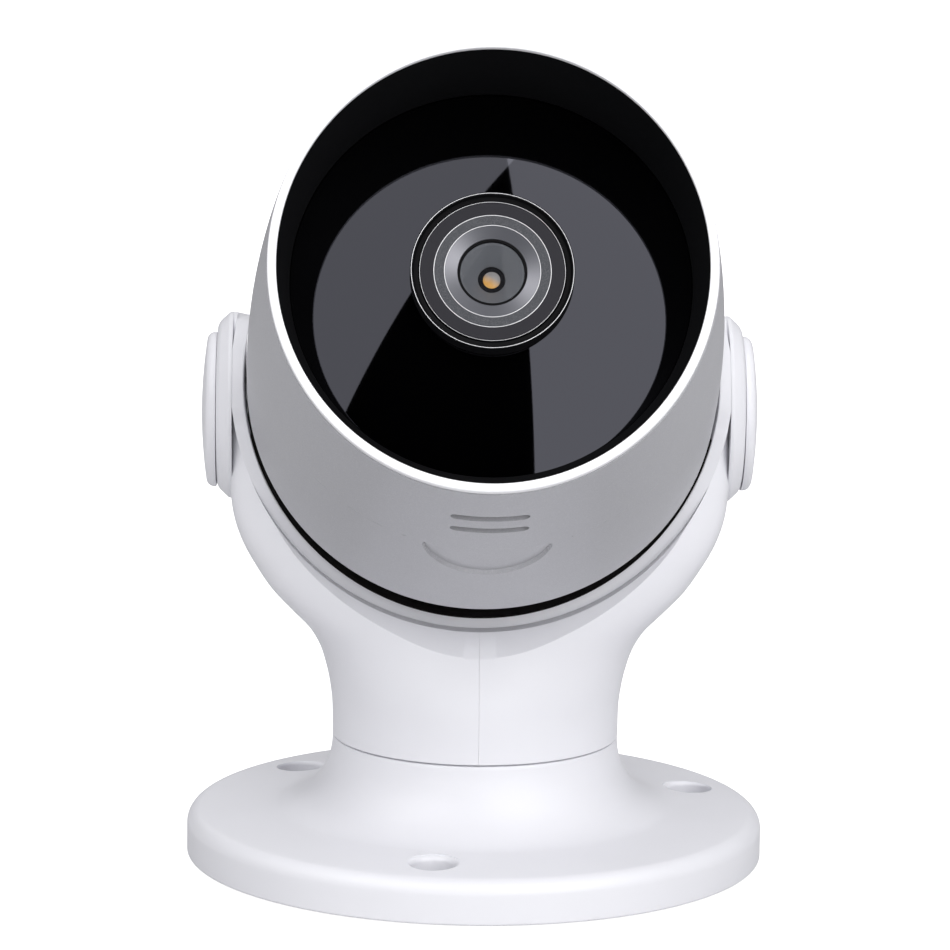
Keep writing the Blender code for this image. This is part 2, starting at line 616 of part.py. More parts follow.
def filter_unit():
    """The night filter: a plate with two glasses that slides behind the lens, in its housing."""
    parent = {"parent": TILT_AXIS}
    housing = box("filter_housing", (27.0, 17.4, 5.2), "black_plastic", place=(0, 0, FILTER_LEVEL), **parent)
    boolean(housing, ring("lens_mount", 10.4, 0.0, 43.0, 50.1, segments=24, **parent), "UNION")
    boolean(housing, ring("lens_mount_bore", 8.7, 0.0, 45.6, 52.0, segments=24, **parent))
    boolean(housing, box("filter_track", (24.8, 9.8, 1.8), place=(0, 0, FILTER_LEVEL), **parent))
    boolean(housing, ring("filter_light_hole", 3.4, 0.0, 30.0, 50.0, segments=24, **parent))
    rest = -FILTER_TRAVEL / 2
    plate = box("filter_slider", (17.0, 9.0, 0.9), "dark_metal", place=(rest, 0, FILTER_LEVEL), **parent)
    for offset in (-3.5, 3.5):
        boolean(plate, ring(f"filter_window_{offset:+.0f}", 3.1, 0.0, 40.0, 43.0, segments=20,
                            place=(rest + offset, 0, 0), **parent))
    ring("ir_cut_glass", 2.8, 0.0, FILTER_LEVEL - 0.3, FILTER_LEVEL + 0.3, "filter_glass", segments=20,
         place=(rest + 3.5, 0, 0), **parent)


def spacer_places():
    for x in (-12.4, 12.4):
        for y in (-10.4, 10.4):
            yield x, y


def boards():
    """The electronics: sensor, main board with its parts, lamp board and reset switch."""
    parent = {"parent": TILT_AXIS}
    sensor_board = box("sensor_board", (30.0, 26.0, 1.2), "board_green", place=(0, 0, 37.2), **parent)
    boolean(sensor_board, rods("sensor_board_holes", 1.25, 30.0, 40.0, spacer_places(), TILT_AXIS, 12))
    box("image_sensor", (8.0, 6.0, 0.5), "chip_black", place=(0, 0, 38.35), **parent)
    main_board = box("main_board", (44.0, 34.0, 1.6), "board_green", place=(0, 0, 25.0), **parent)
    boolean(main_board, rods("main_board_holes", 2.6, 20.0, 30.0, spacer_places(), TILT_AXIS, 16))
    carrier = ring("board_carrier", 28.8, 7.0, 19.2, 21.2, "black_plastic", **parent)
    boolean(carrier, rods("carrier_shoulders", 3.2, 20.0, 23.9, spacer_places(), TILT_AXIS, 16), "UNION")
    boolean(carrier, rods("carrier_posts", 2.3, 20.0, 36.3, spacer_places(), TILT_AXIS, 16), "UNION")
    boolean(carrier, rods("carrier_holes", 1.2, 30.0, 40.0, spacer_places(), TILT_AXIS, 12))
    for index, (x, y) in enumerate(spacer_places()):
        if x * y > 0:
            headed_screw(f"board_screw_{index // 2 + 1}", 1.0, -38.1, -31.0, 1.5, 1.0, (x, y), TILT_AXIS,
                         turn=(180, 0, 0))
    box("processor", (12.0, 12.0, 1.4), "chip_black", place=(0, 0, 26.8), **parent)
    box("wifi_module", (11.0, 9.0, 1.8), "steel", place=(-16.0, 0, 27.0), **parent)
    box("card_socket", (12.0, 13.0, 1.6), "steel", place=(14.5, 0, 26.9), **parent)
    sink = box("heat_sink", (20.0, 16.0, 1.4), "dark_metal", place=(0, 0, 28.6), **parent)
    for index in range(5):
        fin = box(f"sink_fin_{index}", (1.2, 15.0, 4.4), place=(-8.0 + 4.0 * index, 0, 31.0), **parent)
        boolean(sink, fin, "UNION")
    arc_strip("wifi_antenna", 28.3, 28.9, 90, 28, 34.0, 46.0, "brass")
    ring("lamp_board", 26.4, 12.9, 56.2, 57.4, "board_green", **parent)
    for side, word in ((-1, "left"), (1, "right")):
        turned("infrared_lamp_" + word, [(0, 60.4), (1.4, 60.0), (2.5, 58.8), (2.5, 57.7), (0, 57.7)],
               "clear_glass", segments=16, closed=False, place=(side * 19.6, 0, 0), **parent)
    box("speaker", (16.0, 4.5, 14.0), "chip_black", place=(0, -25.2, 46.0), **parent)
    turned("microphone", [(0, 2.2), (2.0, 2.2), (2.0, 0), (0, 0)], "steel", segments=16, closed=False,
           place=(10.9, -22.4, 49.0), turn=(90, 0, 0), **parent)
    arc_strip("sound_mesh", 31.35, 31.6, -90, 12, 50.5, 60.2, "grey_mesh")


def reset_parts():
    """The reset button in the back of the cover, its switch and the small board behind it."""
    parent = {"parent": TILT_AXIS}
    turned("reset_button", [(0, -24.9), (3.1, -24.9), (3.1, -25.4), (1.9, -25.4), (1.9, -28.3), (0, -28.3)],
           "rubber", segments=20, closed=False, **parent)
    box("reset_switch", (5.0, 5.0, 2.8), "chip_black", place=(0, 0, -22.6), **parent)
    box("reset_board", (18.0, 10.0, 1.2), "board_green", place=(0, 0, -20.2), **parent)


# ---------------------------------------------------------------- build
base_plate()
base_pad()
swivel()
yoke_half("yoke_left", -1)
yoke_half("yoke_right", 1)
yoke_liner()
yoke_small_parts()
pivot_hardware(-1, "left")
pivot_hardware(1, "right")
silver_shell()
rim_trim()
hood_liner()
front_window()
rear_housing()
chassis()
lens()
filter_unit()
boards()
reset_parts()
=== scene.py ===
# %% [markdown]
# # A bullet security camera on a swivelling yoke
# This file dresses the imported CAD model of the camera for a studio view. Every piece you see is
# a surface worked out with numpy: a profile turned about an axis, a section carried along a path,
# or a function of two numbers laid on a grid. The CAD stays underneath as the measure of where
# everything goes. Sizes below are in millimetres, because that is how a maker would read a drawing,
# and they are turned into metres only when a mesh is made.

# %% Load the frame
import json
import math
from functools import partial

import bmesh
import bpy
import numpy as np
from mathutils import Matrix, Vector


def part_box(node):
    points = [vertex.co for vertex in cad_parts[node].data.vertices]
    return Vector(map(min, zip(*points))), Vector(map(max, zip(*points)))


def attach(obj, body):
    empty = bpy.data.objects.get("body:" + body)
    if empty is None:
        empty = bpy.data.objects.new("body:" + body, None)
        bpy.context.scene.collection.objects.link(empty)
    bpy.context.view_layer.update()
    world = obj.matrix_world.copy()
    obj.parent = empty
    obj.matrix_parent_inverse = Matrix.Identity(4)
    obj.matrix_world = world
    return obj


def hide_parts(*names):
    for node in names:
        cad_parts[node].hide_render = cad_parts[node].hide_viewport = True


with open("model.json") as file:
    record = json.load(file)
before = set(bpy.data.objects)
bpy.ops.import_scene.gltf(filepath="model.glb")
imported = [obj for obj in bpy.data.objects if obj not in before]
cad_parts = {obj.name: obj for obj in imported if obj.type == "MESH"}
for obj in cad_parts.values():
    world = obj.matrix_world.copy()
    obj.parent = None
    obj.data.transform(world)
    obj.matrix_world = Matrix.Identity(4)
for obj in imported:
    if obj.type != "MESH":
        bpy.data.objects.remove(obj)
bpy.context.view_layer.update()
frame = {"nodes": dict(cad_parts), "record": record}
NODES = frame["nodes"]
MM = 0.001

# %% [markdown]
# ## Where things are
# The head is turned from one axis, so it is easiest to draw it upright, with z running forward
# along the barrel, and then tip it into place. The tilt axis passes through both pivots. Its height
# is read from the pivot washers of the CAD model, so the two can't drift apart.

# %% Frames of reference
low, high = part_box("friction_washer_left")
PIVOT = (low.z + high.z) / 2 / MM
TILT = math.radians(27.0)
LEAD_HEIGHT = 29.0
FORWARD = np.array([0.0, -math.cos(TILT), math.sin(TILT)])
UPWARD = np.array([0.0, math.sin(TILT), math.cos(TILT)])


def in_head(points):
    """Head place: x stays, y runs along the barrel's up direction, z along its forward one."""
    points = np.asarray(points, float)
    placed = points[..., 1:2] * UPWARD + points[..., 2:3] * FORWARD
    placed[..., 0] += points[..., 0]
    placed[..., 2] += PIVOT
    return placed


def about_x(points, side):
    """Pivot place: a piece turned about z lies along the tilt axis, its top outwards."""
    points = np.asarray(points, float)
    return np.stack([side * points[..., 2], points[..., 0], points[..., 1] + PIVOT], axis=-1)


def along_back(points):
    """Lead place: a piece turned about z points straight back from the neck, LEAD_HEIGHT up."""
    points = np.asarray(points, float)
    return np.stack([points[..., 0], points[..., 2], LEAD_HEIGHT + points[..., 1]], axis=-1)


def upright(points):
    """Base place: as drawn."""
    return np.asarray(points, float)


print(f"pivot height {PIVOT:.2f} mm")

# %% [markdown]
# ## From arrays to meshes
# A surface here is an array of rows of points. Neighbouring rows are joined by quads, and each row
# closes on itself. The two ends are closed by a point in the middle, or the last row joins the first
# when the shape is a ring. A closed surface has a signed volume, the sum of the little pyramids from
# the origin to each face, and if that comes out negative the faces are turned round.


# %% Mesh helpers
def signed_volume(points, faces):
    """Sum over faces of a fan of pyramids: a dot (b cross c) / 6."""
    a = points[faces[:, 0]]
    total = 0.0
    for j in range(1, faces.shape[1] - 1):
        b, c = points[faces[:, j]], points[faces[:, j + 1]]
        total += np.einsum("ij,ij->i", a, np.cross(b, c)).sum() / 6.0
    return total


def make_object(name, points, faces, sharp=32.0):
    """Hand arrays of points (mm) and faces to Blender as one smooth, outward-facing object."""
    points = np.asarray(points, float) * MM
    counts = [len(block) for block in faces]
    volume = sum(signed_volume(points, block) for block in faces if len(block))
    faces = [block[:, ::-1] if volume < 0 else block for block in faces]
    mesh = bpy.data.meshes.new(name)
    mesh.from_pydata(points.tolist(), [], [face for block in faces for face in block.tolist()])
    mesh.validate()
    mesh.shade_smooth()
    mesh.set_sharp_from_angle(angle=math.radians(sharp))
    item = bpy.data.objects.new(name, mesh)
    bpy.context.scene.collection.objects.link(item)
    print(f"{name}: {len(points)} points, {sum(counts)} faces")
    return item


def grid_faces(rows, columns, ring):
    """Quads between neighbouring rows; columns wrap round, and rows too when it is a ring."""
    r = np.arange(rows if ring else rows - 1)[:, None]
    c = np.arange(columns)[None, :]
    after_r, after_c = (r + 1) % rows, (c + 1) % columns
    quads = np.stack([r * columns + c, r * columns + after_c,
                      after_r * columns + after_c, after_r * columns + c], axis=-1)
    return quads.reshape(-1, 4)


def sheet_object(name, grid, ring=False, sharp=32.0):
    """A closed surface through rows of points, with a middle point closing each open end."""
    rows, columns = grid.shape[:2]
    points = grid.reshape(-1, 3)
    blocks = [grid_faces(rows, columns, ring)]
    if not ring:
        c = np.arange(columns)
        after = (c + 1) % columns
        first, last = len(points), len(points) + 1
        points = np.vstack([points, grid[0].mean(axis=0), grid[-1].mean(axis=0)])
        row = (rows - 1) * columns
        blocks.append(np.stack([np.full(columns, first), after, c], axis=-1))
        blocks.append(np.stack([np.full(columns, last), row + c, row + after], axis=-1))
    return make_object(name, points, blocks, sharp)


# %% [markdown]
# ## Profiles with soft corners
# Moulded and machined parts never have razor edges, and it is the small rounds that catch the light.
# So each profile is drawn as a plain outline and its corners are then rounded: the corner point is
# replaced by a short curve that leaves along one side and arrives along the other. Extra points
# close to each round keep the flats looking flat, because Blender blends shading between points.


# %% Profile helpers
def rounded(outline, radius, steps=5, closed=True, support=0.12, longest=3.0):
    """Round the corners: point(u) = (1-u)^2 start + 2u(1-u) corner + u^2 end, u from 0 to 1."""
    corners = np.asarray(outline, float)
    radius = np.broadcast_to(np.asarray(radius, float), (len(corners),))
    before, after = np.roll(corners, 1, axis=0), np.roll(corners, -1, axis=0)
    back, ahead = before - corners, after - corners
    back_length = np.linalg.norm(back, axis=1, keepdims=True)
    ahead_length = np.linalg.norm(ahead, axis=1, keepdims=True)
    cut = np.minimum(radius[:, None], 0.45 * np.minimum(back_length, ahead_length))
    if not closed:
        cut[0] = cut[-1] = 0.0
    start, end = corners + back / back_length * cut, corners + ahead / ahead_length * cut
    u = np.linspace(0.0, 1.0, steps + 1)[None, :, None]
    curves = ((1 - u) ** 2 * start[:, None] + 2 * u * (1 - u) * corners[:, None]
              + u ** 2 * end[:, None])
    pieces = []
    last = len(corners) if closed else len(corners) - 1
    for i in range(len(corners)):
        pieces.append(curves[i] if cut[i] > 0 else curves[i][:1])
        if i < last:
            a, b = end[i], start[(i + 1) % len(corners)]
            length = np.linalg.norm(b - a)
            parts = max(int(length // longest), 1)
            inner = np.arange(1, parts) / parts
            near = min(support / max(length, 1e-6), 0.3)
            inner = inner[(inner > near) & (inner < 1 - near)]
            share = np.unique(np.concatenate([[near], inner, [1 - near]]))
            if length > 0.02:
                pieces.append(a + (b - a) * share[:, None])
    return np.vstack(pieces)


def arc(centre, radius, start, end, steps):
    """centre + radius (cos t, sin t), t in degrees from start to end."""
    t = np.radians(np.linspace(start, end, steps + 1))
    return np.stack([centre[0] + radius * np.cos(t), centre[1] + radius * np.sin(t)], axis=-1)


def turn(profile, segments=192):
    """Turn (r, z) about z: x = r cos t, y = r sin t, t once round."""
    t = np.linspace(0.0, 2 * np.pi, segments, endpoint=False)[None, :]
    r, z = profile[:, 0:1], profile[:, 1:2]
    return np.stack([r * np.cos(t), r * np.sin(t), z + 0.0 * t], axis=-1)


def turned_object(name, profile, place=in_head, ring=True, segments=192, sharp=32.0,
                  offset=(0, 0, 0)):
    """A profile of (r, z) turned about z, shifted by the offset, then put in its place."""
    points = turn(np.asarray(profile, float), segments) + np.array(offset)
    return sheet_object(name, place(points), ring, sharp)


AXIS = 0.01


def drum(radius, low, high):
    """The profile of a plain cylinder, for a drill. It starts a hair off the axis, at AXIS."""
    return [[AXIS, low], [radius, low], [radius, high], [AXIS, high]]


# %% [markdown]
# ## Cutting one shape out of another
# Holes, slots and the round of the yoke are cut the way a machinist would think of them: the solid
# first, then the tool. The tool is a numpy surface too. Blender's exact Boolean does the cut, the
# result is kept as a plain mesh, and the tool is thrown away.


# %% Boolean helper
def cut(item, tool, operation="DIFFERENCE", sharp=32.0):
    """Cut the tool out of the item, or join it on, keep the result and throw the tool away."""
    modifier = item.modifiers.new("cut", "BOOLEAN")
    modifier.operation = operation
    modifier.solver = "EXACT"
    modifier.object = tool
    bpy.context.view_layer.update()
    graph = bpy.context.evaluated_depsgraph_get()
    result = bpy.data.meshes.new_from_object(item.evaluated_get(graph), depsgraph=graph)
    item.modifiers.clear()
    old = item.data
    item.data = result
    result.name = item.name
    bpy.data.meshes.remove(old)
    spent = tool.data
    bpy.data.objects.remove(tool)
    bpy.data.meshes.remove(spent)
    result.shade_smooth()
    result.set_sharp_from_angle(angle=math.radians(sharp))
    print(f"{item.name} after the cut: {len(result.polygons)} faces")
    return item


# %% [markdown]
# ## Shared effects
# Four small node groups carry the fine detail that several finishes share: the grain of a moulded
# surface, the flakes in metallic paint, the lines left by a lathe or a roller, and the faint
# unevenness of handling. Each gives out only numbers, which a material then uses for its colour,
# its roughness or the height of a bump.


# %% Node group helpers
def new_group(name, inputs, outputs):
    """A shader group with a vector input, named number inputs and named number outputs."""
    group = bpy.data.node_groups.new(name, "ShaderNodeTree")
    group.interface.new_socket("Vector", in_out="INPUT", socket_type="NodeSocketVector")
    for label, value in inputs.items():
        socket = group.interface.new_socket(label, in_out="INPUT", socket_type="NodeSocketFloat")
        socket.default_value = value
    for label in outputs:
        group.interface.new_socket(label, in_out="OUTPUT", socket_type="NodeSocketFloat")
    entry, leave = group.nodes.new("NodeGroupInput"), group.nodes.new("NodeGroupOutput")
    return group, entry, leave


def noise(group, vector, scale, detail=3.0):
    """A noise texture at a scale that is a number or another node's output."""
    node = group.nodes.new("ShaderNodeTexNoise")
    node.inputs["Detail"].default_value = detail
    group.links.new(vector, node.inputs["Vector"])
    if isinstance(scale, (int, float)):
        node.inputs["Scale"].default_value = scale
    else:
        group.links.new(scale, node.inputs["Scale"])
    return node


def math_node(group, operation, *values):
    """The output of one sum on numbers or on other nodes' outputs."""
    node = group.nodes.new("ShaderNodeMath")
    node.operation = operation
    for socket, value in zip(node.inputs, values):
        if isinstance(value, (int, float)):
            socket.default_value = value
        else:
            group.links.new(value, socket)
    return node.outputs[0]


# %% Moulded grain: fine pits over slow waves
def build_grain():
    """Height = 0.7 pits + 0.3 waves. The tone follows the waves alone."""
    group, entry, leave = new_group(
        "Moulded grain", {"Pits per metre": 2600.0, "Waves per metre": 55.0}, ["Height", "Tone"])
    pits = noise(group, entry.outputs["Vector"], entry.outputs["Pits per metre"], 2.0)
    waves = noise(group, entry.outputs["Vector"], entry.outputs["Waves per metre"], 2.0)
    fine = math_node(group, "MULTIPLY", pits.outputs[0], 0.7)
    slow = math_node(group, "MULTIPLY", waves.outputs[0], 0.3)
    group.links.new(math_node(group, "ADD", fine, slow), leave.inputs["Height"])
    group.links.new(waves.outputs[0], leave.inputs["Tone"])
    return group


# %% Paint flakes: a cell pattern where each cell has its own brightness
def build_flakes():
    """Glint = brightness^3, so few flakes are bright. The height is a second random number."""
    group, entry, leave = new_group(
        "Paint flakes", {"Flakes per metre": 5200.0}, ["Glint", "Height"])
    cells = group.nodes.new("ShaderNodeTexVoronoi")
    group.links.new(entry.outputs["Vector"], cells.inputs["Vector"])
    group.links.new(entry.outputs["Flakes per metre"], cells.inputs["Scale"])
    split = group.nodes.new("ShaderNodeSeparateColor")
    group.links.new(cells.outputs["Color"], split.inputs[0])
    glint = math_node(group, "POWER", split.outputs[0], 3.0)
    group.links.new(glint, leave.inputs["Glint"])
    group.links.new(split.outputs[1], leave.inputs["Height"])
    return group


# %% Turning lines: noise squeezed along one direction
def build_lines():
    """Noise whose x is shrunk to 4 parts in 100, which draws its spots out into lines."""
    group, entry, leave = new_group("Tool lines", {"Lines per metre": 3000.0}, ["Height", "Tone"])
    stretch = group.nodes.new("ShaderNodeVectorMath")
    stretch.operation = "MULTIPLY"
    stretch.inputs[1].default_value = (0.04, 1.0, 1.0)
    group.links.new(entry.outputs["Vector"], stretch.inputs[0])
    lines = noise(group, stretch.outputs[0], entry.outputs["Lines per metre"], 4.0)
    group.links.new(lines.outputs[0], leave.inputs["Height"])
    group.links.new(lines.outputs[0], leave.inputs["Tone"])
    return group


# %% Handling: broad patches that are a touch duller, for roughness
def build_handling():
    """Broad noise, spread so that values from 0.35 to 0.75 fill 0 to 1."""
    group, entry, leave = new_group("Handling", {"Patches per metre": 28.0}, ["Dullness"])
    patches = noise(group, entry.outputs["Vector"], entry.outputs["Patches per metre"], 5.0)
    spread = group.nodes.new("ShaderNodeMapRange")
    spread.inputs["From Min"].default_value = 0.35
    spread.inputs["From Max"].default_value = 0.75
    group.links.new(patches.outputs[0], spread.inputs["Value"])
    group.links.new(spread.outputs[0], leave.inputs["Dullness"])
    return group


GRAIN, FLAKES, LINES, HANDLING = build_grain(), build_flakes(), build_lines(), build_handling()
print("shader groups:", [g.name for g in (GRAIN, FLAKES, LINES, HANDLING)])

# %% [markdown]
# ## Finishes
# A finish starts as a plain Principled shader whose even numbers are set on its own sockets. What
# changes over the surface comes from the groups: a tint between two close colours, a roughness
# between two values, and a bump. All patterns read Object coordinates, so they are solid patterns
# that cut through a piece the way pigment does.


# %% Material helper
def finish(name, dark, light, rough, metallic=0.0, group=GRAIN, tone="Tone", height="Height",
           bump=0.02, depth=0.00002, values=None, **sockets):
    """Principled with a colour from dark to light, a roughness range and a bump from groups."""
    material = bpy.data.materials.new(name)
    material.use_nodes = True
    tree = material.node_tree
    shader = tree.nodes["Principled BSDF"]
    shader.inputs["Metallic"].default_value = metallic
    for label, value in sockets.items():
        shader.inputs[label.replace("_", " ")].default_value = value
    place = tree.nodes.new("ShaderNodeTexCoord")
    effect = tree.nodes.new("ShaderNodeGroup")
    effect.node_tree = group
    tree.links.new(place.outputs["Object"], effect.inputs["Vector"])
    for label, value in (values or {}).items():
        effect.inputs[label].default_value = value
    blend = tree.nodes.new("ShaderNodeMix")
    blend.data_type = "RGBA"
    blend.inputs["A"].default_value = (*dark, 1.0)
    blend.inputs["B"].default_value = (*light, 1.0)
    tree.links.new(effect.outputs[tone], blend.inputs["Factor"])
    tree.links.new(blend.outputs["Result"], shader.inputs["Base Color"])
    wear = tree.nodes.new("ShaderNodeGroup")
    wear.node_tree = HANDLING
    tree.links.new(place.outputs["Object"], wear.inputs["Vector"])
    spread = tree.nodes.new("ShaderNodeMapRange")
    spread.inputs["To Min"].default_value = rough[0]
    spread.inputs["To Max"].default_value = rough[1]
    tree.links.new(wear.outputs["Dullness"], spread.inputs["Value"])
    tree.links.new(spread.outputs[0], shader.inputs["Roughness"])
    relief = tree.nodes.new("ShaderNodeBump")
    relief.inputs["Strength"].default_value = bump
    relief.inputs["Distance"].default_value = depth
    tree.links.new(effect.outputs[height], relief.inputs["Height"])
    tree.links.new(relief.outputs[0], shader.inputs["Normal"])
    return material


# %% The camera's finishes
WHITE = finish("white_plastic", (0.765, 0.765, 0.80), (0.805, 0.805, 0.84), (0.36, 0.46),
               bump=0.25)
SILVER = finish("silver_paint", (0.43, 0.43, 0.455), (0.51, 0.51, 0.535), (0.36, 0.42),
                metallic=0.2, group=FLAKES, tone="Glint", bump=0.2, depth=0.000006,
                values={"Flakes per metre": 9500.0})
TRIM = finish("bright_trim", (0.88, 0.88, 0.90), (0.95, 0.95, 0.97), (0.22, 0.30), bump=0.1)
MATT_BLACK = finish("black_plastic", (0.002, 0.002, 0.0024), (0.005, 0.005, 0.006), (0.62, 0.78),
                    bump=0.5, Specular_IOR_Level=0.1)
GLOSS_BLACK = finish("gloss_black", (0.0002, 0.0002, 0.0003), (0.0004, 0.0004, 0.0005),
                     (0.02, 0.04), bump=0.02, depth=0.000002, Specular_IOR_Level=0.54,
                     Specular_Tint=(0.84, 0.85, 1.0, 1.0))
STEEL = finish("steel", (0.42, 0.43, 0.44), (0.62, 0.63, 0.64), (0.24, 0.36), metallic=1.0,
               group=LINES, bump=0.2)
BRASS = finish("brass", (0.55, 0.40, 0.18), (0.74, 0.57, 0.30), (0.26, 0.40), metallic=1.0,
               group=LINES, bump=0.2)
DARK_METAL = finish("dark_metal", (0.06, 0.06, 0.065), (0.12, 0.12, 0.13), (0.32, 0.45),
                    metallic=0.8, group=LINES, bump=0.2)
RUBBER = finish("rubber", (0.014, 0.014, 0.015), (0.032, 0.032, 0.033), (0.72, 0.88), bump=0.6)
BOARD = finish("board_green", (0.012, 0.085, 0.035), (0.03, 0.17, 0.07), (0.35, 0.5), group=LINES,
               bump=0.3, values={"Lines per metre": 900.0})
CHIP = finish("chip_black", (0.012, 0.012, 0.013), (0.028, 0.028, 0.03), (0.45, 0.6), bump=0.5)
MESH_GREY = finish("grey_mesh", (0.03, 0.03, 0.032), (0.22, 0.22, 0.23), (0.5, 0.7), metallic=0.4,
                   group=FLAKES, tone="Height", bump=0.9, depth=0.0001,
                   values={"Flakes per metre": 3200.0})
GLASS = finish("clear_glass", (0.55, 0.60, 0.68), (0.62, 0.66, 0.72), (0.02, 0.04), bump=0.0,
               Alpha=0.35)
FILTER_GLASS = finish("filter_glass", (0.16, 0.34, 0.30), (0.25, 0.45, 0.40), (0.03, 0.06),
                      bump=0.0)
BY_SLOT = {"white_plastic": WHITE, "silver_paint": SILVER, "bright_trim": TRIM,
           "black_plastic": MATT_BLACK, "gloss_black": GLOSS_BLACK, "steel": STEEL,
           "brass": BRASS, "dark_metal": DARK_METAL, "rubber": RUBBER, "board_green": BOARD,
           "chip_black": CHIP, "grey_mesh": MESH_GREY, "clear_glass": GLASS,
           "filter_glass": FILTER_GLASS}
print("finishes:", len(BY_SLOT))

# %% [markdown]
# The pieces inside keep their CAD shape, since nobody sees them, but each gets its real finish.

# %% Finishes for the CAD nodes
for part in frame["record"]["subparts"]:
    node = NODES[part["node"]]
    node.data.materials.clear()
    node.data.materials.append(BY_SLOT[part["material_slot"]])


def dress(item, material, body, slot_name, *nodes):
    """Give a finished piece its material, the body it rides on and the CAD nodes it stands for."""
    item.data.materials.clear()
    item.data.materials.append(material)
    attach(item, body)
    if nodes:
        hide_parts(*nodes)
    return item


# %% [markdown]
# ## The base
# A thick moulded disc that sweeps up into a neck. It is one profile turned once round. The sweep is
# a quarter round stretched a little, and the top edge of the rim is a generous round that shows as
# a bright line. Three screw recesses are cut with tools that widen at the mouth, so each hole gets
# the soft lip of a moulding.

# %% Base disc
BASE_RADIUS, BASE_EDGE, NECK_RADIUS, SEAM = 45.0, 6.9, 22.3, 18.9
EDGE_ROUND, FLARE_ROUND, FLARE_STRETCH = 2.4, 10.0, 1.08
HOLE_CIRCLE, HOLE_RADIUS, HOLE_FLOOR, LIP = 36.6, 3.45, 3.4, 0.8
SPIGOT_RADIUS, SPIGOT_BORE, SPIGOT_TOP = 11.5, 7.0, 31.0


def base_profile():
    """Spigot, seam, flare (a quarter round stretched upwards), slope, rounded edge, underside."""
    flare = arc((NECK_RADIUS + FLARE_ROUND, 0.0), FLARE_ROUND, 180.0, 264.0, 40)
    flare[:, 1] = flare[:, 1] * FLARE_STRETCH + SEAM - 0.55
    edge = arc((BASE_RADIUS - EDGE_ROUND, BASE_EDGE - EDGE_ROUND), EDGE_ROUND, 84.0, 0.0, 18)
    top = np.array([[SPIGOT_RADIUS, SEAM - 0.12], [21.75, SEAM - 0.12], [22.12, SEAM - 0.22]])
    slope = flare[-1] + (edge[0] - flare[-1]) * np.linspace(0.08, 0.92, 9)[:, None]
    under = rounded([[BASE_RADIUS, 3.6], [BASE_RADIUS, 0.0], [40.8, 0.0], [40.8, 1.5],
                     [SPIGOT_BORE, 1.5], [SPIGOT_BORE, SPIGOT_TOP], [SPIGOT_RADIUS, SPIGOT_TOP]],
                    0.35, closed=False)
    return np.vstack([top, flare, slope, edge, under])


def hole_centres():
    """Three places on a circle, 120 degrees apart, the first 11 degrees left of the front."""
    angles = np.radians(-101.0 + 120.0 * np.arange(3))
    return np.stack([HOLE_CIRCLE * np.cos(angles), HOLE_CIRCLE * np.sin(angles)], axis=-1)


base = turned_object("base_disc", base_profile(), upright, segments=300)
for index, (x, y) in enumerate(hole_centres()):
    mouth = arc((HOLE_RADIUS + LIP, 6.55), LIP, 180.0, 90.0, 8)
    tool = np.vstack([[[AXIS, -2.0], [2.2, -2.0], [2.2, HOLE_FLOOR],
                       [HOLE_RADIUS - 0.2, HOLE_FLOOR], [HOLE_RADIUS, HOLE_FLOOR + 0.2]], mouth,
                      [[HOLE_RADIUS + LIP, 12.0], [AXIS, 12.0]]])
    cut(base, turned_object(f"tool_{index}", tool, upright, ring=False, segments=64,
                            offset=(x, y, 0)))
dress(base, WHITE, "base", "white_plastic", "base_plate")

# %% [markdown]
# The rubber pad under the base has raised rings so it grips. The rings are a ripple added to the
# height of a flat disc, faded out at the rim.

# %% Rubber pad
RING_HEIGHT, RING_SPACING, PAD_TOP = 0.22, 4.0, 1.2
radius = np.linspace(0.2, 40.2, 160)
ripple = RING_HEIGHT * (0.5 - 0.5 * np.cos(radius * 2 * np.pi / RING_SPACING))
under = np.stack([radius, ripple * np.clip((39.5 - radius) / 1.5, 0, 1)], axis=-1)
pad_profile = np.vstack([under, [[40.5, 0.3], [40.5, PAD_TOP], [0.2, PAD_TOP]]])
pad = turned_object("grip_pad", pad_profile, upright, ring=False)
for index, (x, y) in enumerate(hole_centres()):
    cut(pad, turned_object(f"pad_tool_{index}", drum(3.0, -2.0, 3.0), upright, ring=False,
                           segments=48, offset=(x, y, 0)))
dress(pad, RUBBER, "base", "rubber", "base_pad")

# %% [markdown]
# ## The yoke
# The yoke starts as a round neck and squares off into two flat arms. Each level is a superellipse:
# x = a cos(t)^p, y = b sin(t)^p, where the power runs from a circle (p = 1) to a soft rectangle. The
# half width, half depth and power are smooth curves of height. The round space for the head is then
# cut away with one tool whose mouths widen at 45 degrees, which leaves the bright chamfer band.

# %% Yoke outline
PIVOT_ROUND, PIVOT_ROUND_RADIUS = 70.6, 14.4
ROUND_CENTRE, BORE_RADIUS, LINER_RADIUS = 76.9, 38.25, 36.2
SEAT_FOOT, SEAT_FALL, CHAMFER, ARM_SIDE = 17.2, 3.0, 8.8, 38.3
WIDTH = [(19.05, 22.3), (25.0, 22.5), (30.0, 23.4), (34.0, 24.7), (37.0, 26.4), (40.0, 29.1),
         (43.4, 32.1), (47.0, 34.4), (51.0, 36.5), (55.0, 37.8), (59.0, ARM_SIDE),
         (64.0, ARM_SIDE), (90.0, ARM_SIDE)]
DEPTH = [(19.05, 22.3), (28.0, 22.2), (36.0, 20.4), (48.0, 18.0), (60.0, 15.6),
         (PIVOT_ROUND, PIVOT_ROUND_RADIUS), (90.0, PIVOT_ROUND_RADIUS)]
SQUARENESS = [(19.05, 2.0), (26.0, 2.05), (34.0, 2.5), (44.0, 4.2), (56.0, 7.0),
              (PIVOT_ROUND, 9.0), (90.0, 9.0)]


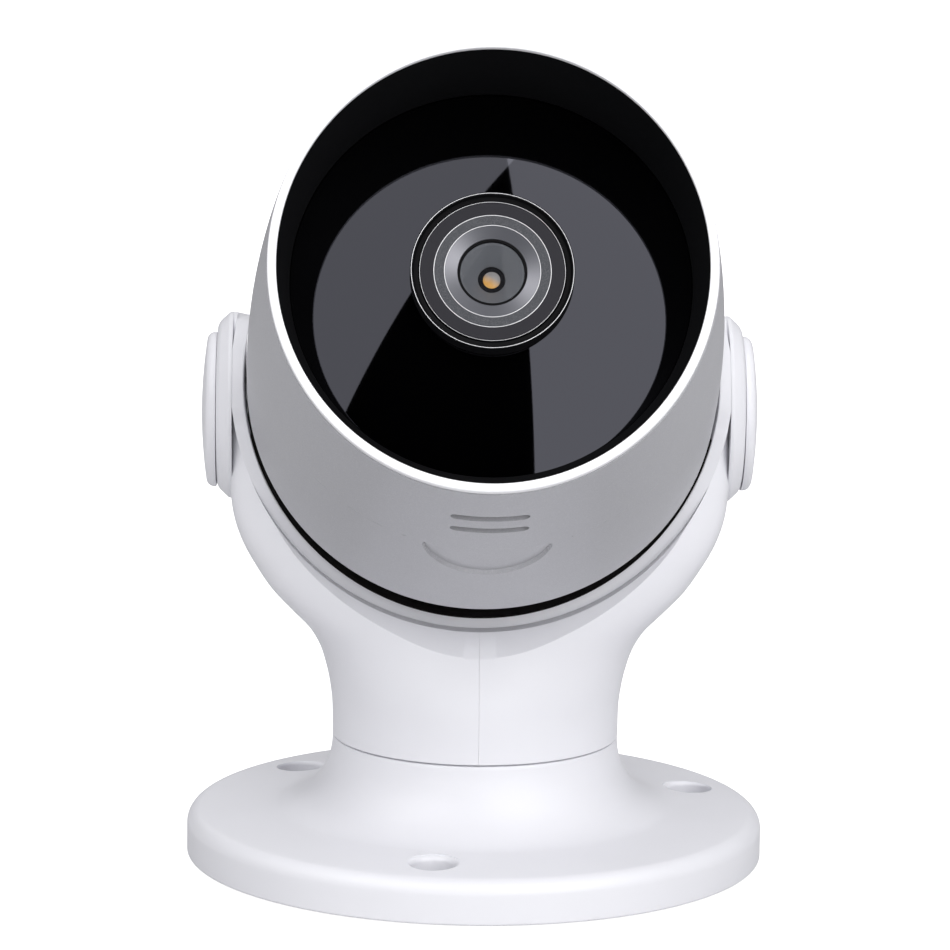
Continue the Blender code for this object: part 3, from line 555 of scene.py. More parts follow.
def smooth_through(knots, at):
    """Hermite curve through knots with slopes from the neighbours: passes every knot, no corners."""
    x, y = np.array(knots, float).T
    slope = np.gradient(y, x)
    i = np.clip(np.searchsorted(x, at, side="right") - 1, 0, len(x) - 2)
    span = x[i + 1] - x[i]
    u = np.clip((at - x[i]) / span, 0.0, 1.0)
    return ((2 * u ** 3 - 3 * u ** 2 + 1) * y[i] + (u ** 3 - 2 * u ** 2 + u) * slope[i] * span
            + (3 * u ** 2 - 2 * u ** 3) * y[i + 1] + (u ** 3 - u ** 2) * slope[i + 1] * span)


def yoke_levels(heights, inset=0.0, columns=240):
    """Superellipse at each height; above the arms' centre the depth follows a circle."""
    heights = np.asarray(heights, float)
    level = np.minimum(heights, PIVOT_ROUND)
    a = smooth_through(WIDTH, level) - inset
    b = smooth_through(DEPTH, level) - inset
    rise = np.clip(heights - PIVOT_ROUND, 0.0, PIVOT_ROUND_RADIUS - 0.002)
    b = np.where(heights > PIVOT_ROUND, np.sqrt(PIVOT_ROUND_RADIUS ** 2 - rise ** 2) - inset, b)
    power = 2.0 / smooth_through(SQUARENESS, level)[:, None]
    t = (2 * np.pi * (np.arange(columns) + 0.5) / columns)[None, :]
    wave = np.stack([np.cos(t), np.sin(t)])
    x = a[:, None] * np.sign(wave[0]) * np.abs(wave[0]) ** power
    y = b[:, None] * np.sign(wave[1]) * np.abs(wave[1]) ** power
    return np.stack([x, y, heights[:, None] + 0.0 * t], axis=-1)


def chamfer_start(z):
    """Half depth of the liner's seat: SEAT_FOOT at the foot, less by SEAT_FALL at the pivots."""
    foot = ROUND_CENTRE - LINER_RADIUS
    return SEAT_FOOT - SEAT_FALL * np.clip((z - foot) / (PIVOT - foot), 0.0, 1.0)


def in_round(radius, angle, depth):
    """Place in the round: x = r cos a, z = centre + r sin a, at a depth from front to back."""
    return np.stack([radius * np.cos(angle), depth, ROUND_CENTRE + radius * np.sin(angle)],
                    axis=-1)


def bore_tool():
    """A drum of BORE_RADIUS that widens by one millimetre per millimetre past its seat."""
    t = np.linspace(0.0, 2 * np.pi, 360, endpoint=False)
    z = ROUND_CENTRE + BORE_RADIUS * np.sin(t)
    seat = chamfer_start(z)
    rows = []
    for side, widenings in ((-1.0, (CHAMFER, CHAMFER, 0.0)), (1.0, (0.0, CHAMFER, CHAMFER))):
        for order, widen in enumerate(widenings):
            far = order == (0 if side < 0 else 2)
            depth = np.full_like(t, 45.0) if far else seat + widen
            rows.append(in_round(BORE_RADIUS + widen, t, side * depth))
    return sheet_object("bore_tool", np.array(rows), ring=False)


def pivot_tool(side):
    """Stepped drill on the tilt axis: washer seat, bolt hole, pocket for the bolt's head."""
    steps = [[AXIS, 50.0], [6.3, 50.0], [6.3, 39.0], [4.3, 39.0], [4.3, 35.9], [10.0, 35.9],
             [10.0, 20.0], [AXIS, 20.0]]
    return turned_object("pivot_tool", steps, partial(about_x, side=side), ring=False, segments=96)


def boss(side):
    """The low round pad on an arm's outside that the pivot cap sits on."""
    crown = rounded([[AXIS, -0.3], [PIVOT_ROUND_RADIUS, -0.3], [PIVOT_ROUND_RADIUS, 0.25],
                     [12.6, 2.2], [AXIS, 2.2]], [0.1, 0.1, 0.5, 1.0, 0.1], closed=False)
    return turned_object("boss", crown + np.array([0.0, ARM_SIDE]),
                         lambda p: about_x(p, side) + np.array([0, 0, PIVOT_ROUND - PIVOT]),
                         ring=False, segments=128)


def yoke_body():
    """Levels of the outline, less the round, the neck's hollows and holes, plus the bosses."""
    top = PIVOT_ROUND + PIVOT_ROUND_RADIUS * np.sin(np.radians(np.linspace(4.0, 89.0, 26)))
    heights = np.concatenate([[19.02, 19.12], np.linspace(19.5, PIVOT_ROUND, 110), top])
    foot = yoke_levels(heights[:1], inset=0.18)
    foot[..., 2] = 18.98
    body = sheet_object("yoke_body", np.concatenate([foot, yoke_levels(heights)]))
    cut(body, bore_tool())
    cavity = yoke_levels(np.array([23.0, 26.0, 29.0, 32.0, 34.0, 35.6]), inset=2.2, columns=96)
    cut(body, sheet_object("cavity_tool", cavity))
    for name, hole, place, segments in (("neck_tool", drum(13.5, 10.0, 26.0), upright, 96),
                                        ("lead_tool", drum(3.6, 15.0, 26.0), along_back, 64)):
        cut(body, turned_object(name, hole, place, ring=False, segments=segments))
    for side in (-1, 1):
        cut(body, boss(side), "UNION")
    for side in (-1, 1):
        cut(body, pivot_tool(side))
    cut(body, turned_object("screw_tool", drum(1.5, -30.0, 30.0),
                            lambda p: np.stack([p[..., 2], 15.0 + p[..., 0], 20.9 + p[..., 1]],
                                               axis=-1), ring=False, segments=32))
    return body


def half_of(body, name, side, gap=0.012):
    """Keep what lies on one side of the middle plane and close the cut with flat faces."""
    bm = bmesh.new()
    bm.from_mesh(body.data)
    bmesh.ops.bisect_plane(bm, geom=bm.verts[:] + bm.edges[:] + bm.faces[:], dist=1e-7,
                           plane_co=(side * gap * MM, 0, 0), plane_no=(-side, 0, 0),
                           clear_outer=True)
    border = [edge for edge in bm.edges if edge.is_boundary]
    bmesh.ops.triangle_fill(bm, use_beauty=True, edges=border)
    bmesh.ops.recalc_face_normals(bm, faces=bm.faces)
    mesh = bpy.data.meshes.new(name)
    bm.to_mesh(mesh)
    bm.free()
    mesh.shade_smooth()
    mesh.set_sharp_from_angle(angle=math.radians(32.0))
    item = bpy.data.objects.new(name, mesh)
    bpy.context.scene.collection.objects.link(item)
    print(f"{name}: {len(mesh.polygons)} faces")
    return item


whole = yoke_body()
for side, word in ((-1, "left"), (1, "right")):
    dress(half_of(whole, f"yoke_half_{word}", side), WHITE, "yoke", "white_plastic", f"yoke_{word}")
bpy.data.objects.remove(whole)

# %% [markdown]
# The liner is the plain strip you see just inside the chamfer. Its section is a soft-cornered
# rectangle carried along the round from one pivot, under the head, to the other. The depth of the
# section follows the seat, so it is deepest at the foot.

# %% Yoke liner
theta = np.radians(np.linspace(-191.6, 11.6, 241))
edge_z = ROUND_CENTRE + BORE_RADIUS * np.sin(theta)
rise = np.clip(edge_z - PIVOT_ROUND, 0.0, None)
half = np.minimum(chamfer_start(edge_z), np.sqrt(PIVOT_ROUND_RADIUS ** 2 - rise ** 2) - 0.1)
corner = rounded([[-1.0, -10.0], [-1.0, 10.0], [1.0, 10.0], [1.0, -10.0]],
                 [0.25, 0.25, 0.05, 0.05], steps=4, longest=30.0)
across = corner[:, 0] + LINER_RADIUS + 1.03
along = corner[:, 1]
reach = np.abs(along) - 10.0
depth = np.sign(along)[None, :] * (half[:, None] + reach[None, :])
depth = np.where(np.abs(along)[None, :] > 5.0, depth, along[None, :] / 10.0 * half[:, None])
liner = sheet_object("yoke_strip", in_round(across[None, :], theta[:, None], depth))
for side in (-1, 1):
    cut(liner, pivot_tool(side))
dress(liner, WHITE, "yoke", "white_plastic", "yoke_liner")

# %% [markdown]
# A thin black strip lines the floor of the round. It is painted shade: a dark sheet that stands in
# for the deep shadow in the gap under the head. It is an arc of a thin drum, with its outer side
# just inside the liner.

# %% Painted shade strip
SHADE_STRIP_INNER, SHADE_STRIP_OUTER = 36.0, 36.18
theta = np.radians(np.linspace(-166.0, -14.0, 181))
half = chamfer_start(ROUND_CENTRE + LINER_RADIUS * np.sin(theta)) - 0.5
shade_strip_corner = np.array([[SHADE_STRIP_INNER, -1.0], [SHADE_STRIP_INNER, 1.0], [SHADE_STRIP_OUTER, 1.0],
                        [SHADE_STRIP_OUTER, -1.0]])
shade_sheet = in_round(shade_strip_corner[:, 0], theta[:, None], shade_strip_corner[:, 1] * half[:, None])
# Painted shade: a near-black matt finish for the strip, so the gap under the head reads as deep
# shadow.
SHADE_STRIP_BLACK = finish("painted_shade_black", (0.006, 0.005, 0.005), (0.014, 0.012, 0.012), (0.9, 0.98), bump=0.8,
              Specular_IOR_Level=0.05)
dress(sheet_object("painted_shade_strip", shade_sheet), SHADE_STRIP_BLACK, "yoke", "white_plastic")

# %% [markdown]
# The pivot caps are shallow lids that hide the bolts: a turned profile with a broad round at the
# rim and a face that is crowned like a watch glass, z = CAP_TOP - CAP_CROWN r^2.

# %% Pivot caps
CAP_TOP, CAP_CROWN, CAP_RADIUS, CAP_FOOT, CAP_ROUND = 42.9, 0.0068, 11.95, 40.56, 1.2
r = np.linspace(0.05, 10.9, 24)
face = np.stack([r, CAP_TOP - CAP_CROWN * r ** 2], axis=-1)
rim = arc((CAP_RADIUS - CAP_ROUND, 40.9), CAP_ROUND, 81.4, 0.0, 14)
tail = rounded([[CAP_RADIUS, 40.8], [CAP_RADIUS, CAP_FOOT], [10.3, CAP_FOOT], [10.3, 41.5],
                [0.05, 41.5]], 0.1, closed=False)
for side, word in ((-1, "left"), (1, "right")):
    dress(turned_object(f"cap_{word}", np.vstack([face, rim, tail]), partial(about_x, side=side),
                        ring=False), WHITE, "yoke", "white_plastic", f"pivot_cap_{word}")

# %% [markdown]
# ## The silver sleeve
# The sleeve narrows towards the mouth as r(s) = SLEEVE_RADIUS - SLEEVE_TAPER u^2, where u runs from
# 0 at the rear edge to 1 at the rim. The rim is cut by a slanting plane, so each column of the
# surface ends where s = RIM + RAKE r cos(a). The thumb scoop is a half moon, straight in front and
# round behind. Its floor falls evenly from nothing at the straight edge to SCOOP_DEPTH at the round
# one, where a short wall brings it back up. Columns and rows crowd together there so that the wall
# stays crisp.

# %% Sleeve surface
REAR, RIM, RAKE = 15.2, 73.4, math.tan(math.radians(9.3))
SLEEVE_RADIUS, SLEEVE_TAPER, SLEEVE_WALL = 35.7, 3.7, 1.2
SCOOP_FRONT, SCOOP_LENGTH, SCOOP_HALF_WIDTH, SCOOP_DEPTH = 44.8, 11.0, 9.4, 0.6


def around(r, a, s):
    """Place on the head: x = r sin a, y = r cos a, z = s, so a = 0 is the top and 180 the bottom."""
    return np.stack([r * np.sin(a), r * np.cos(a), s], axis=-1)


def sleeve_radius(s):
    """Outside radius at a station along the barrel."""
    return SLEEVE_RADIUS - SLEEVE_TAPER * ((s - REAR) / (RIM - REAR)) ** 2


def rim_station(a):
    """Where the slanting plane meets the sleeve, found by putting each answer back in 8 times."""
    s = np.full_like(a, RIM)
    for _ in range(8):
        s = RIM + sleeve_radius(s) * np.cos(a) * RAKE
    return s


def crowded(start, end, near, reach, coarse, fine):
    """Positions from start to end, finely spaced within reach of a place, coarsely elsewhere."""
    dense = np.arange(near - reach, near + reach + fine / 2, fine)
    left = np.arange(start, near - reach - coarse / 2, coarse)
    right = np.arange(near + reach + coarse, end, coarse)
    return np.concatenate([left, dense, right])


def sleeve_grid():
    """Rows from the rear edge forward on the outside, with the scoop, and back on the inside."""
    a = np.radians(crowded(0.0, 360.0, 180.0, 22.0, 2.0, 0.35))
    share = np.unique(np.concatenate([np.linspace(0, 0.34, 10), np.linspace(0.34, 0.62, 90),
                                      np.linspace(0.62, 1.0, 16)]))
    front = rim_station(a) - 1.25
    station = REAR + (front[None, :] - REAR) * share[:, None]
    radius = sleeve_radius(station)
    width = np.clip(1.0 - (radius * np.sin(a) / SCOOP_HALF_WIDTH) ** 2, 0.0, 1.0) * (np.cos(a) < 0)
    fall = (SCOOP_FRONT - station) / np.maximum(SCOOP_LENGTH * np.sqrt(width), 0.01)
    inside = (fall > 0) & (fall < 1)
    wall = np.clip((1.0 - fall) / 0.03, 0, 1)
    outer = around(radius - np.where(inside, SCOOP_DEPTH * fall * wall, 0.0), a, station)
    inner_u = np.array([1.0, 0.985, 0.8, 0.5, 0.2, 0.0])
    thickness = np.array([0.45, 1.0] + [SLEEVE_WALL] * 4)[:, None]
    s_in = REAR + (front[None, :] - REAR) * inner_u[:, None]
    inner = around(sleeve_radius(s_in) - thickness, a, s_in)
    return np.concatenate([outer, inner])


sleeve = sheet_object("silver_sleeve", in_head(sleeve_grid()), ring=True, sharp=25.0)
SLOT_STATIONS, SLOT_HALF, SLOT_ROUND = (53.1, 57.7), 4.8, 0.9


def slot_tool(station):
    """Two half circles joined by straights, pushed through the bottom of the wall."""
    outline = np.vstack([arc((SLOT_HALF, 0.0), SLOT_ROUND, -90.0, 90.0, 16),
                         arc((-SLOT_HALF, 0.0), SLOT_ROUND, 90.0, 270.0, 16)])
    rows = [np.stack([outline[:, 0], np.full(len(outline), height), station + outline[:, 1]],
                     axis=-1) for height in (-38.0, -28.0)]
    return sheet_object("slot_tool", in_head(np.array(rows)))


for station in SLOT_STATIONS:
    cut(sleeve, slot_tool(station), sharp=25.0)
dress(sleeve, SILVER, "head", "silver_paint", "silver_shell")

# %% [markdown]
# Behind the two sound slots sits a strip of woven mesh. It is a curved sheet whose surface ripples
# in both directions, height = sin(x) sin(z), like a plain weave seen from a little way off.

# %% Sound mesh
MESH_RADIUS, MESH_THICKNESS, THREAD_PITCH, THREAD_HEIGHT = 31.6, 0.3, 0.55, 0.05
angle = np.radians(np.linspace(-12.0, 12.0, 160))[:, None]
stations = np.linspace(50.6, 60.1, 120)[None, :]
turns = 2 * np.pi / THREAD_PITCH
weave = THREAD_HEIGHT * np.sin(angle * 31.4 * turns) * np.sin(stations * turns)


def mesh_side(radius):
    """Points at a radius, with angles counted from straight below."""
    return np.stack([radius * np.sin(angle), -radius * np.cos(angle), stations + 0 * radius],
                    axis=-1)


back_side = mesh_side(MESH_RADIUS - MESH_THICKNESS + 0 * weave)
mesh_grid = np.concatenate([mesh_side(MESH_RADIUS + weave), back_side[:, ::-1]], axis=1)
dress(sheet_object("sound_weave", in_head(mesh_grid), sharp=80.0), MESH_GREY, "head", "grey_mesh",
      "sound_mesh")

# %% [markdown]
# ## The hood's mouth
# The bright ring that finishes the mouth and the matt funnel behind it both follow the slanting rim.
# Each is a section of (inset from the sleeve, setback from the rim) carried round the rim curve.


# %% Rim ring and hood funnel
def rim_grid(section, columns=288):
    """Place a section of (inset, setback) at every angle round the raked rim."""
    a = np.linspace(0.0, 2 * np.pi, columns, endpoint=False)[None, :]
    s_rim = rim_station(a[0])[None, :]
    return around(sleeve_radius(s_rim) - section[:, 0:1], a, s_rim - section[:, 1:2])


ring_section = rounded([[0.0, 1.15], [0.0, 0.0], [1.3, 0.0], [1.3, 1.15]], [0.1, 0.38, 0.3, 0.1],
                       steps=7)
dress(sheet_object("rim_ring", in_head(rim_grid(ring_section)), ring=True), TRIM, "head",
      "bright_trim", "rim_trim")

WINDOW_EDGE, WINDOW_RADIUS, DOME = 62.2, 28.9, 104.0
FUNNEL_BACK, FUNNEL_OUTSIDE, FUNNEL_WALL = WINDOW_EDGE + 0.25, 30.6, 0.3


def funnel_grid(columns=288):
    """From the window's edge out to the rim's inner edge, r = edge + (rim - edge) u^1.15, and
    back on the outside."""
    a = np.linspace(0.0, 2 * np.pi, columns, endpoint=False)[None, :]
    s_rim = rim_station(a[0])[None, :] - 0.4
    r_rim = sleeve_radius(s_rim) - 1.32
    u = np.concatenate([[0.0, 0.01], np.linspace(0.04, 0.96, 24), [0.99, 1.0]])[:, None]
    s = FUNNEL_BACK + (s_rim - FUNNEL_BACK) * u
    r_in = WINDOW_RADIUS + (r_rim - WINDOW_RADIUS) * u ** 1.15
    r_out = np.maximum(FUNNEL_OUTSIDE + (r_rim + 0.25 - FUNNEL_OUTSIDE) * u, r_in + FUNNEL_WALL)
    return around(np.concatenate([r_in, r_out[::-1]]), a, np.concatenate([s, s[::-1]]))


dress(sheet_object("hood_funnel", in_head(funnel_grid()), ring=True), MATT_BLACK, "head",
      "black_plastic", "hood_liner")

# %% [markdown]
# ## The window
# A polished black cover, clear only to infrared, that bulges slightly. Its front is part of a big
# sphere: s(r) = edge + sqrt(R^2 - r^2) - sqrt(R^2 - edge radius^2). The bulge is what bends the
# reflections of the studio into their long curved wedges.


# %% Front window
def dome_station(r):
    """Station of the window's front face at a radius."""
    return WINDOW_EDGE + np.sqrt(DOME ** 2 - r ** 2) - math.sqrt(DOME ** 2 - WINDOW_RADIUS ** 2)


r = np.linspace(10.95, 29.7, 60)
front_curve = np.stack([r, dome_station(r)], axis=-1)
back_curve = np.stack([r[::-1], dome_station(r[::-1]) - 1.8], axis=-1)
dress(turned_object("window", np.vstack([front_curve, back_curve]), segments=288), GLOSS_BLACK,
      "head", "gloss_black", "front_window")

# %% [markdown]
# ## The lens
# Seen from the front a lens is a set of rings, one inside the other: a matt black bezel with a
# bright outer edge, a retaining ring, a satin face ring with a sparkling step and a cone whose
# colour carries two painted highlight fans, and the glass in the middle with a small pupil deep
# inside. Each is a turned profile. The thin bright lines between them are painted highlights: very
# thin rings of a near-white finish where the edges catch the light.

# %% Lens finishes
RETAINER = finish("retainer_grey", (0.010, 0.0095, 0.014), (0.014, 0.013, 0.019), (0.5, 0.6),
                  bump=0.1, Specular_IOR_Level=0.3)
SPARKLE = finish("satin_sparkle", (0.036, 0.038, 0.045), (0.10, 0.103, 0.115), (0.4, 0.5),
                 metallic=0.2, group=FLAKES, tone="Glint", bump=0.2,
                 values={"Flakes per metre": 16000.0})
FAN_TILT = math.radians(20.0)


def build_painted_fans():
    """Two painted highlight fans in a colour: fan = |cos(angle + FAN_TILT)|^power, angle about the
    lens axis. They stand for the reflections of the soft boxes on a turned face."""
    group, entry, leave = new_group("Painted highlight fans", {"Power": 7.0}, ["Fan", "Height"])
    steps = []
    for axis in (np.array([1.0, 0.0, 0.0]), UPWARD):
        dot = group.nodes.new("ShaderNodeVectorMath")
        dot.operation = "DOT_PRODUCT"
        dot.inputs[1].default_value = axis.tolist()
        group.links.new(entry.outputs["Vector"], dot.inputs[0])
        steps.append(dot.outputs["Value"])
    axis_height = float(in_head(np.array([0.0, 0.0, 0.0])) @ UPWARD) * MM
    up_from_axis = math_node(group, "SUBTRACT", steps[1], axis_height)
    angle = math_node(group, "ARCTAN2", up_from_axis, steps[0])
    swing = math_node(group, "COSINE", math_node(group, "ADD", angle, FAN_TILT))
    fan = math_node(group, "POWER", math_node(group, "ABSOLUTE", swing), entry.outputs["Power"])
    group.links.new(fan, leave.inputs["Fan"])
    group.links.new(fan, leave.inputs["Height"])
    return group


# Painted highlight: the cone's colour runs from dark to light with the two fans, where the boxes'
# reflections would fall.
CONE_PAINTED_FANS = finish("cone_painted_fans", (0.08, 0.082, 0.095), (0.25, 0.25, 0.275), (0.34, 0.4), metallic=0.3,
              group=build_painted_fans(), tone="Fan", bump=0.0)
# Painted highlight: a near-white finish for the thin rings that stand in for the light caught along
# the lens edges.
EDGE_HIGHLIGHT_LOOK = finish("painted_edge_highlight", (0.78, 0.78, 0.80), (0.86, 0.86, 0.88), (0.2, 0.3), metallic=0.3,
              bump=0.02)
# Painted glow: the iris grey also emits a faint even grey, so the deep dish looks evenly lit instead
# of lying in shade.
IRIS_PAINTED_GLOW = finish("iris_grey_painted_glow", (0.075, 0.082, 0.095), (0.092, 0.098, 0.112), (0.5, 0.6), bump=0.05,
                    Emission_Color=(0.115, 0.12, 0.13, 1.0), Emission_Strength=0.5)

# %% Bezel, retainer and face ring
def lens_ring(name, outline, soft, steps, segments, look, slot_name, *nodes):
    """A ring of (r, z) corners with soft edges, turned about the barrel's axis."""
    ring = turned_object(name, rounded(outline, soft, steps=steps), segments=segments)
    return dress(ring, look, "head", slot_name, *nodes)


RING_FACE, RING_BACK = 68.25, 66.8
seat = float(dome_station(11.65)) + 0.15
lens_ring("bezel", [[11.75, seat], [11.75, 68.7], [11.35, 68.7], [11.2, 68.0], [10.55, 68.0],
                    [10.55, 66.4], [8.7, 66.4], [8.7, 58.0], [10.6, 58.0], [10.6, seat]],
          0.14, 4, 240, MATT_BLACK, "gloss_black", "lens_bezel")
lens_ring("retaining_ring", [[10.3, RING_BACK], [10.3, RING_FACE], [8.42, RING_FACE],
                             [8.42, RING_BACK]],
          0.08, 3, 240, RETAINER, "black_plastic", "lens_retainer")
lens_ring("sparkle_step", [[8.3, RING_BACK], [8.3, RING_FACE], [6.92, RING_FACE],
                           [6.92, RING_BACK]],
          0.06, 3, 240, SPARKLE, "dark_metal", "lens_face_ring")
lens_ring("bright_cone", [[6.8, RING_BACK], [6.8, 68.2], [4.98, 67.75], [4.98, RING_BACK]],
          0.05, 3, 240, CONE_PAINTED_FANS, "dark_metal")


def wire_ring(radius, station, thick):
    """A circle of the given thickness, to be turned into a thin bright ring."""
    t = np.linspace(0.0, 2 * np.pi, 12, endpoint=False)
    return np.stack([radius + thick * np.cos(t), station + thick * np.sin(t)], axis=-1)


# Painted highlights: thin near-white rings laid where the bezel, retainer, face ring and cone edges
# catch the light.
HIGHLIGHT_RINGS = ((11.58, 68.66, 0.06), (10.38, 68.2, 0.035), (8.36, 68.24, 0.06), (6.86, 68.22, 0.06))
for index, edge in enumerate(HIGHLIGHT_RINGS):
    dress(turned_object(f"painted_edge_highlight_{index + 1}", wire_ring(*edge), segments=240), EDGE_HIGHLIGHT_LOOK,
          "head", "dark_metal")
lens_ring("glass_seat", [[4.93, 66.6], [4.93, 67.7], [4.62, 67.7], [4.62, 67.3], [4.75, 66.6]],
          0.04, 3, 192, MATT_BLACK, "black_plastic")

# %% [markdown]
# Behind the front glass a shallow grey dish narrows to a small black seat; the dish carries a
# painted glow, a faint even emission. In the seat sits a tiny lens with a painted reflection and
# glow: its colour runs from amber on its lower side to pale grey opposite, and that colour is also
# emitted. The front glass itself is nearly clear: most of it is the weak sheen on a gently domed
# surface.


# %% Iris plate, pupil and front glass
GLASS_RADIUS, PUPIL_RADIUS, PUPIL_TOP = 4.58, 1.25, 64.45
lens_ring("iris", [[GLASS_RADIUS, 66.5], [GLASS_RADIUS, 67.25], [1.98, 64.35], [1.98, 63.9]],
          0.05, 3, 160, IRIS_PAINTED_GLOW, "dark_metal", "iris_plate")
lens_ring("pupil_seat", [[1.93, 63.7], [1.93, 64.3], [1.28, 64.2], [1.28, 63.7]],
          0.04, 3, 96, MATT_BLACK, "black_plastic")


def pupil_material():
    """Painted reflection and glow: amber at the lower left, pale grey opposite, from the place
    across the little lens; the same colour is emitted.
    """
    material = finish("pupil_painted_glow", (0.62, 0.33, 0.08), (0.24, 0.23, 0.225), (0.08, 0.14),
                      bump=0.0)
    tree = material.node_tree
    place = tree.nodes["Texture Coordinate"]
    middle = in_head(np.array([[0.0, 0.0, 64.1]]))[0] * MM
    across = tree.nodes.new("ShaderNodeVectorMath")
    across.operation = "SUBTRACT"
    across.inputs[1].default_value = middle.tolist()
    dot = tree.nodes.new("ShaderNodeVectorMath")
    dot.operation = "DOT_PRODUCT"
    dot.inputs[1].default_value = (UPWARD * 0.86 + np.array([0.5, 0.0, 0.0])).tolist()
    ramp = tree.nodes.new("ShaderNodeMapRange")
    ramp.inputs["From Min"].default_value = -0.0008
    ramp.inputs["From Max"].default_value = 0.0004
    tree.links.new(place.outputs["Object"], across.inputs[0])
    tree.links.new(across.outputs[0], dot.inputs[0])
    tree.links.new(dot.outputs["Value"], ramp.inputs["Value"])
    blend = next(node for node in tree.nodes if node.type == "MIX")
    tree.links.new(ramp.outputs[0], blend.inputs["Factor"])
    shader = tree.nodes["Principled BSDF"]
    tree.links.new(blend.outputs["Result"], shader.inputs["Emission Color"])
    # Painted glow: the little lens emits its own amber-to-grey colour.
    shader.inputs["Emission Strength"].default_value = 0.45
    return material


r = np.linspace(0.02, PUPIL_RADIUS, 24)
pearl_face = np.stack([r, PUPIL_TOP - 0.35 * (r / PUPIL_RADIUS) ** 2], axis=-1)
pearl = np.vstack([pearl_face, [[PUPIL_RADIUS, 63.4], [0.02, 63.4]]])
dress(turned_object("pupil", pearl, ring=False, segments=96), pupil_material(), "head",
      "clear_glass", "second_element")
r = np.linspace(0.02, GLASS_RADIUS, 30)
sag = 0.3 * (r / GLASS_RADIUS) ** 2
lens_front = np.vstack([np.stack([r, 67.62 - sag], axis=-1),
                        np.stack([r[::-1], 67.2 - sag[::-1]], axis=-1)])
SHEEN = finish("lens_sheen", (0.02, 0.02, 0.025), (0.03, 0.03, 0.035), (0.02, 0.04), bump=0.0,
               Alpha=0.12)
dress(turned_object("front_glass", lens_front, ring=False, segments=160), SHEEN, "head",
      "clear_glass", "front_element")

# %% [markdown]
# ## The back of the head
# The white rear cover has a rounded rim that shows behind the silver sleeve, and a ball-shaped back
# centred on the tilt axis, so the gap to the yoke stays even as the head tips. It is one profile: a
# quarter round, a small concave root, and the arc of the ball. The pivot stubs are separate turned
# pieces, short round-cornered tubes on the tilt axis.

# %% Rear cover
BALL_RADIUS, BALL_WALL, SCREW_CIRCLE = 28.6, 2.4, 28.4
seam = REAR - 0.25
rim_round = arc((30.1, seam), 4.8, 0.0, -90.0, 24)
ball_start = math.degrees(math.asin(10.0 / BALL_RADIUS))
root = np.array([[27.4, 10.25], [26.95, 9.9]])
ball = arc((0.0, 0.0), BALL_RADIUS, ball_start - 2.0, -89.9, 60)
hollow = arc((0.0, 0.0), BALL_RADIUS - BALL_WALL, -89.9, ball_start, 30)
cover = np.vstack([[[31.6, 12.5], [31.6, seam], [34.4, seam]], rim_round, root, ball, hollow,
                   [[24.5, 12.5]]])
rear = turned_object("rear_cover", cover, segments=240)
reset_hole = [[AXIS, -24.0], [2.2, -24.0], [2.2, -28.0], [2.5, -28.4], [2.5, -31.0],
              [AXIS, -31.0]]
cut(rear, turned_object("reset_tool", reset_hole, ring=False, segments=64))
spots = np.radians(90.0 + 120.0 * np.arange(3))
screw_places = [(SCREW_CIRCLE * math.cos(spot), SCREW_CIRCLE * math.sin(spot)) for spot in spots]
well = [[AXIS, 5.0], [2.6, 5.0], [2.6, 11.2], [1.5, 11.2], [1.5, 14.0], [AXIS, 14.0]]
for x, y in screw_places:
    cut(rear, turned_object("well_tool", well, ring=False, segments=48, offset=(x, y, 0)))
for side in (-1, 1):
    cut(rear, turned_object("stub_tool", drum(8.2, 20.0, 40.0), partial(about_x, side=side),
                            ring=False, segments=96))
dress(rear, WHITE, "head", "white_plastic", "rear_housing")
stub = rounded([[4.3, 24.6], [9.0, 24.6], [9.0, 34.4], [4.3, 34.4]], 0.3)
for side, word in ((-1, "left"), (1, "right")):
    dress(turned_object(f"pivot_stub_{word}", stub, partial(about_x, side=side), segments=128),
          WHITE, "head", "white_plastic")

# %% [markdown]
# Small parts at the back: the rubber reset button with a dished face, the lead's grommet with two
# grooves, and cross-head screws. A screw's recess is two crossed dips: the height of the head drops
# by the smaller of two smooth steps in |x| and |y|.


# %% Button, grommet and screws
KEY_FACE, KEY_DISH, KEY_BACK = -28.3, 0.25, -24.9
r = np.linspace(1.7, 0.02, 20)
dish = np.stack([r, KEY_FACE + KEY_DISH * (1 - (r / 1.7) ** 2)], axis=-1)
key_side = rounded([[0.02, KEY_BACK], [3.1, KEY_BACK], [3.1, -25.35], [1.9, -25.35],
                    [1.9, KEY_FACE], [1.7, KEY_FACE]], 0.1, closed=False)
button = np.vstack([[[0.02, KEY_BACK]], key_side, dish])
dress(turned_object("reset_key", button, ring=False, segments=96), RUBBER, "reset", "rubber",
      "reset_button")
grommet = rounded([[2.1, 17.5], [3.3, 17.5], [3.3, 22.45], [4.8, 22.45], [4.8, 23.0],
                   [4.3, 23.15], [4.3, 23.4], [4.6, 23.55], [4.2, 24.0], [2.1, 24.0]],
                  0.12, steps=3)
dress(turned_object("lead_bush", grommet, along_back, segments=96), RUBBER, "yoke", "rubber",
      "lead_grommet")


def cross_head(name, place, radius, top, bottom, shank, tail):
    """Pan head on polar rows; depth of the cross is a smooth step where |x| or |y| is small."""
    t = np.linspace(0.0, 2 * np.pi, 96, endpoint=False)[None, :]
    r = np.linspace(0.02, radius - 0.25, 26)[:, None]
    x, y = r * np.cos(t), r * np.sin(t)
    narrow = np.minimum(np.abs(x), np.abs(y))
    inside = np.clip((0.30 - narrow) / 0.08, 0, 1) * np.clip((radius * 0.66 - r) / 0.15, 0, 1)
    face = np.stack([x, y, top - 0.12 * (r / radius) ** 2 + 0.0 * t - 0.55 * inside], axis=-1)
    side = turn(np.array([[radius, top - 0.35], [radius, bottom], [shank, bottom], [shank, tail],
                          [0.02, tail]]), 96)
    return sheet_object(name, place(np.concatenate([face, side])))


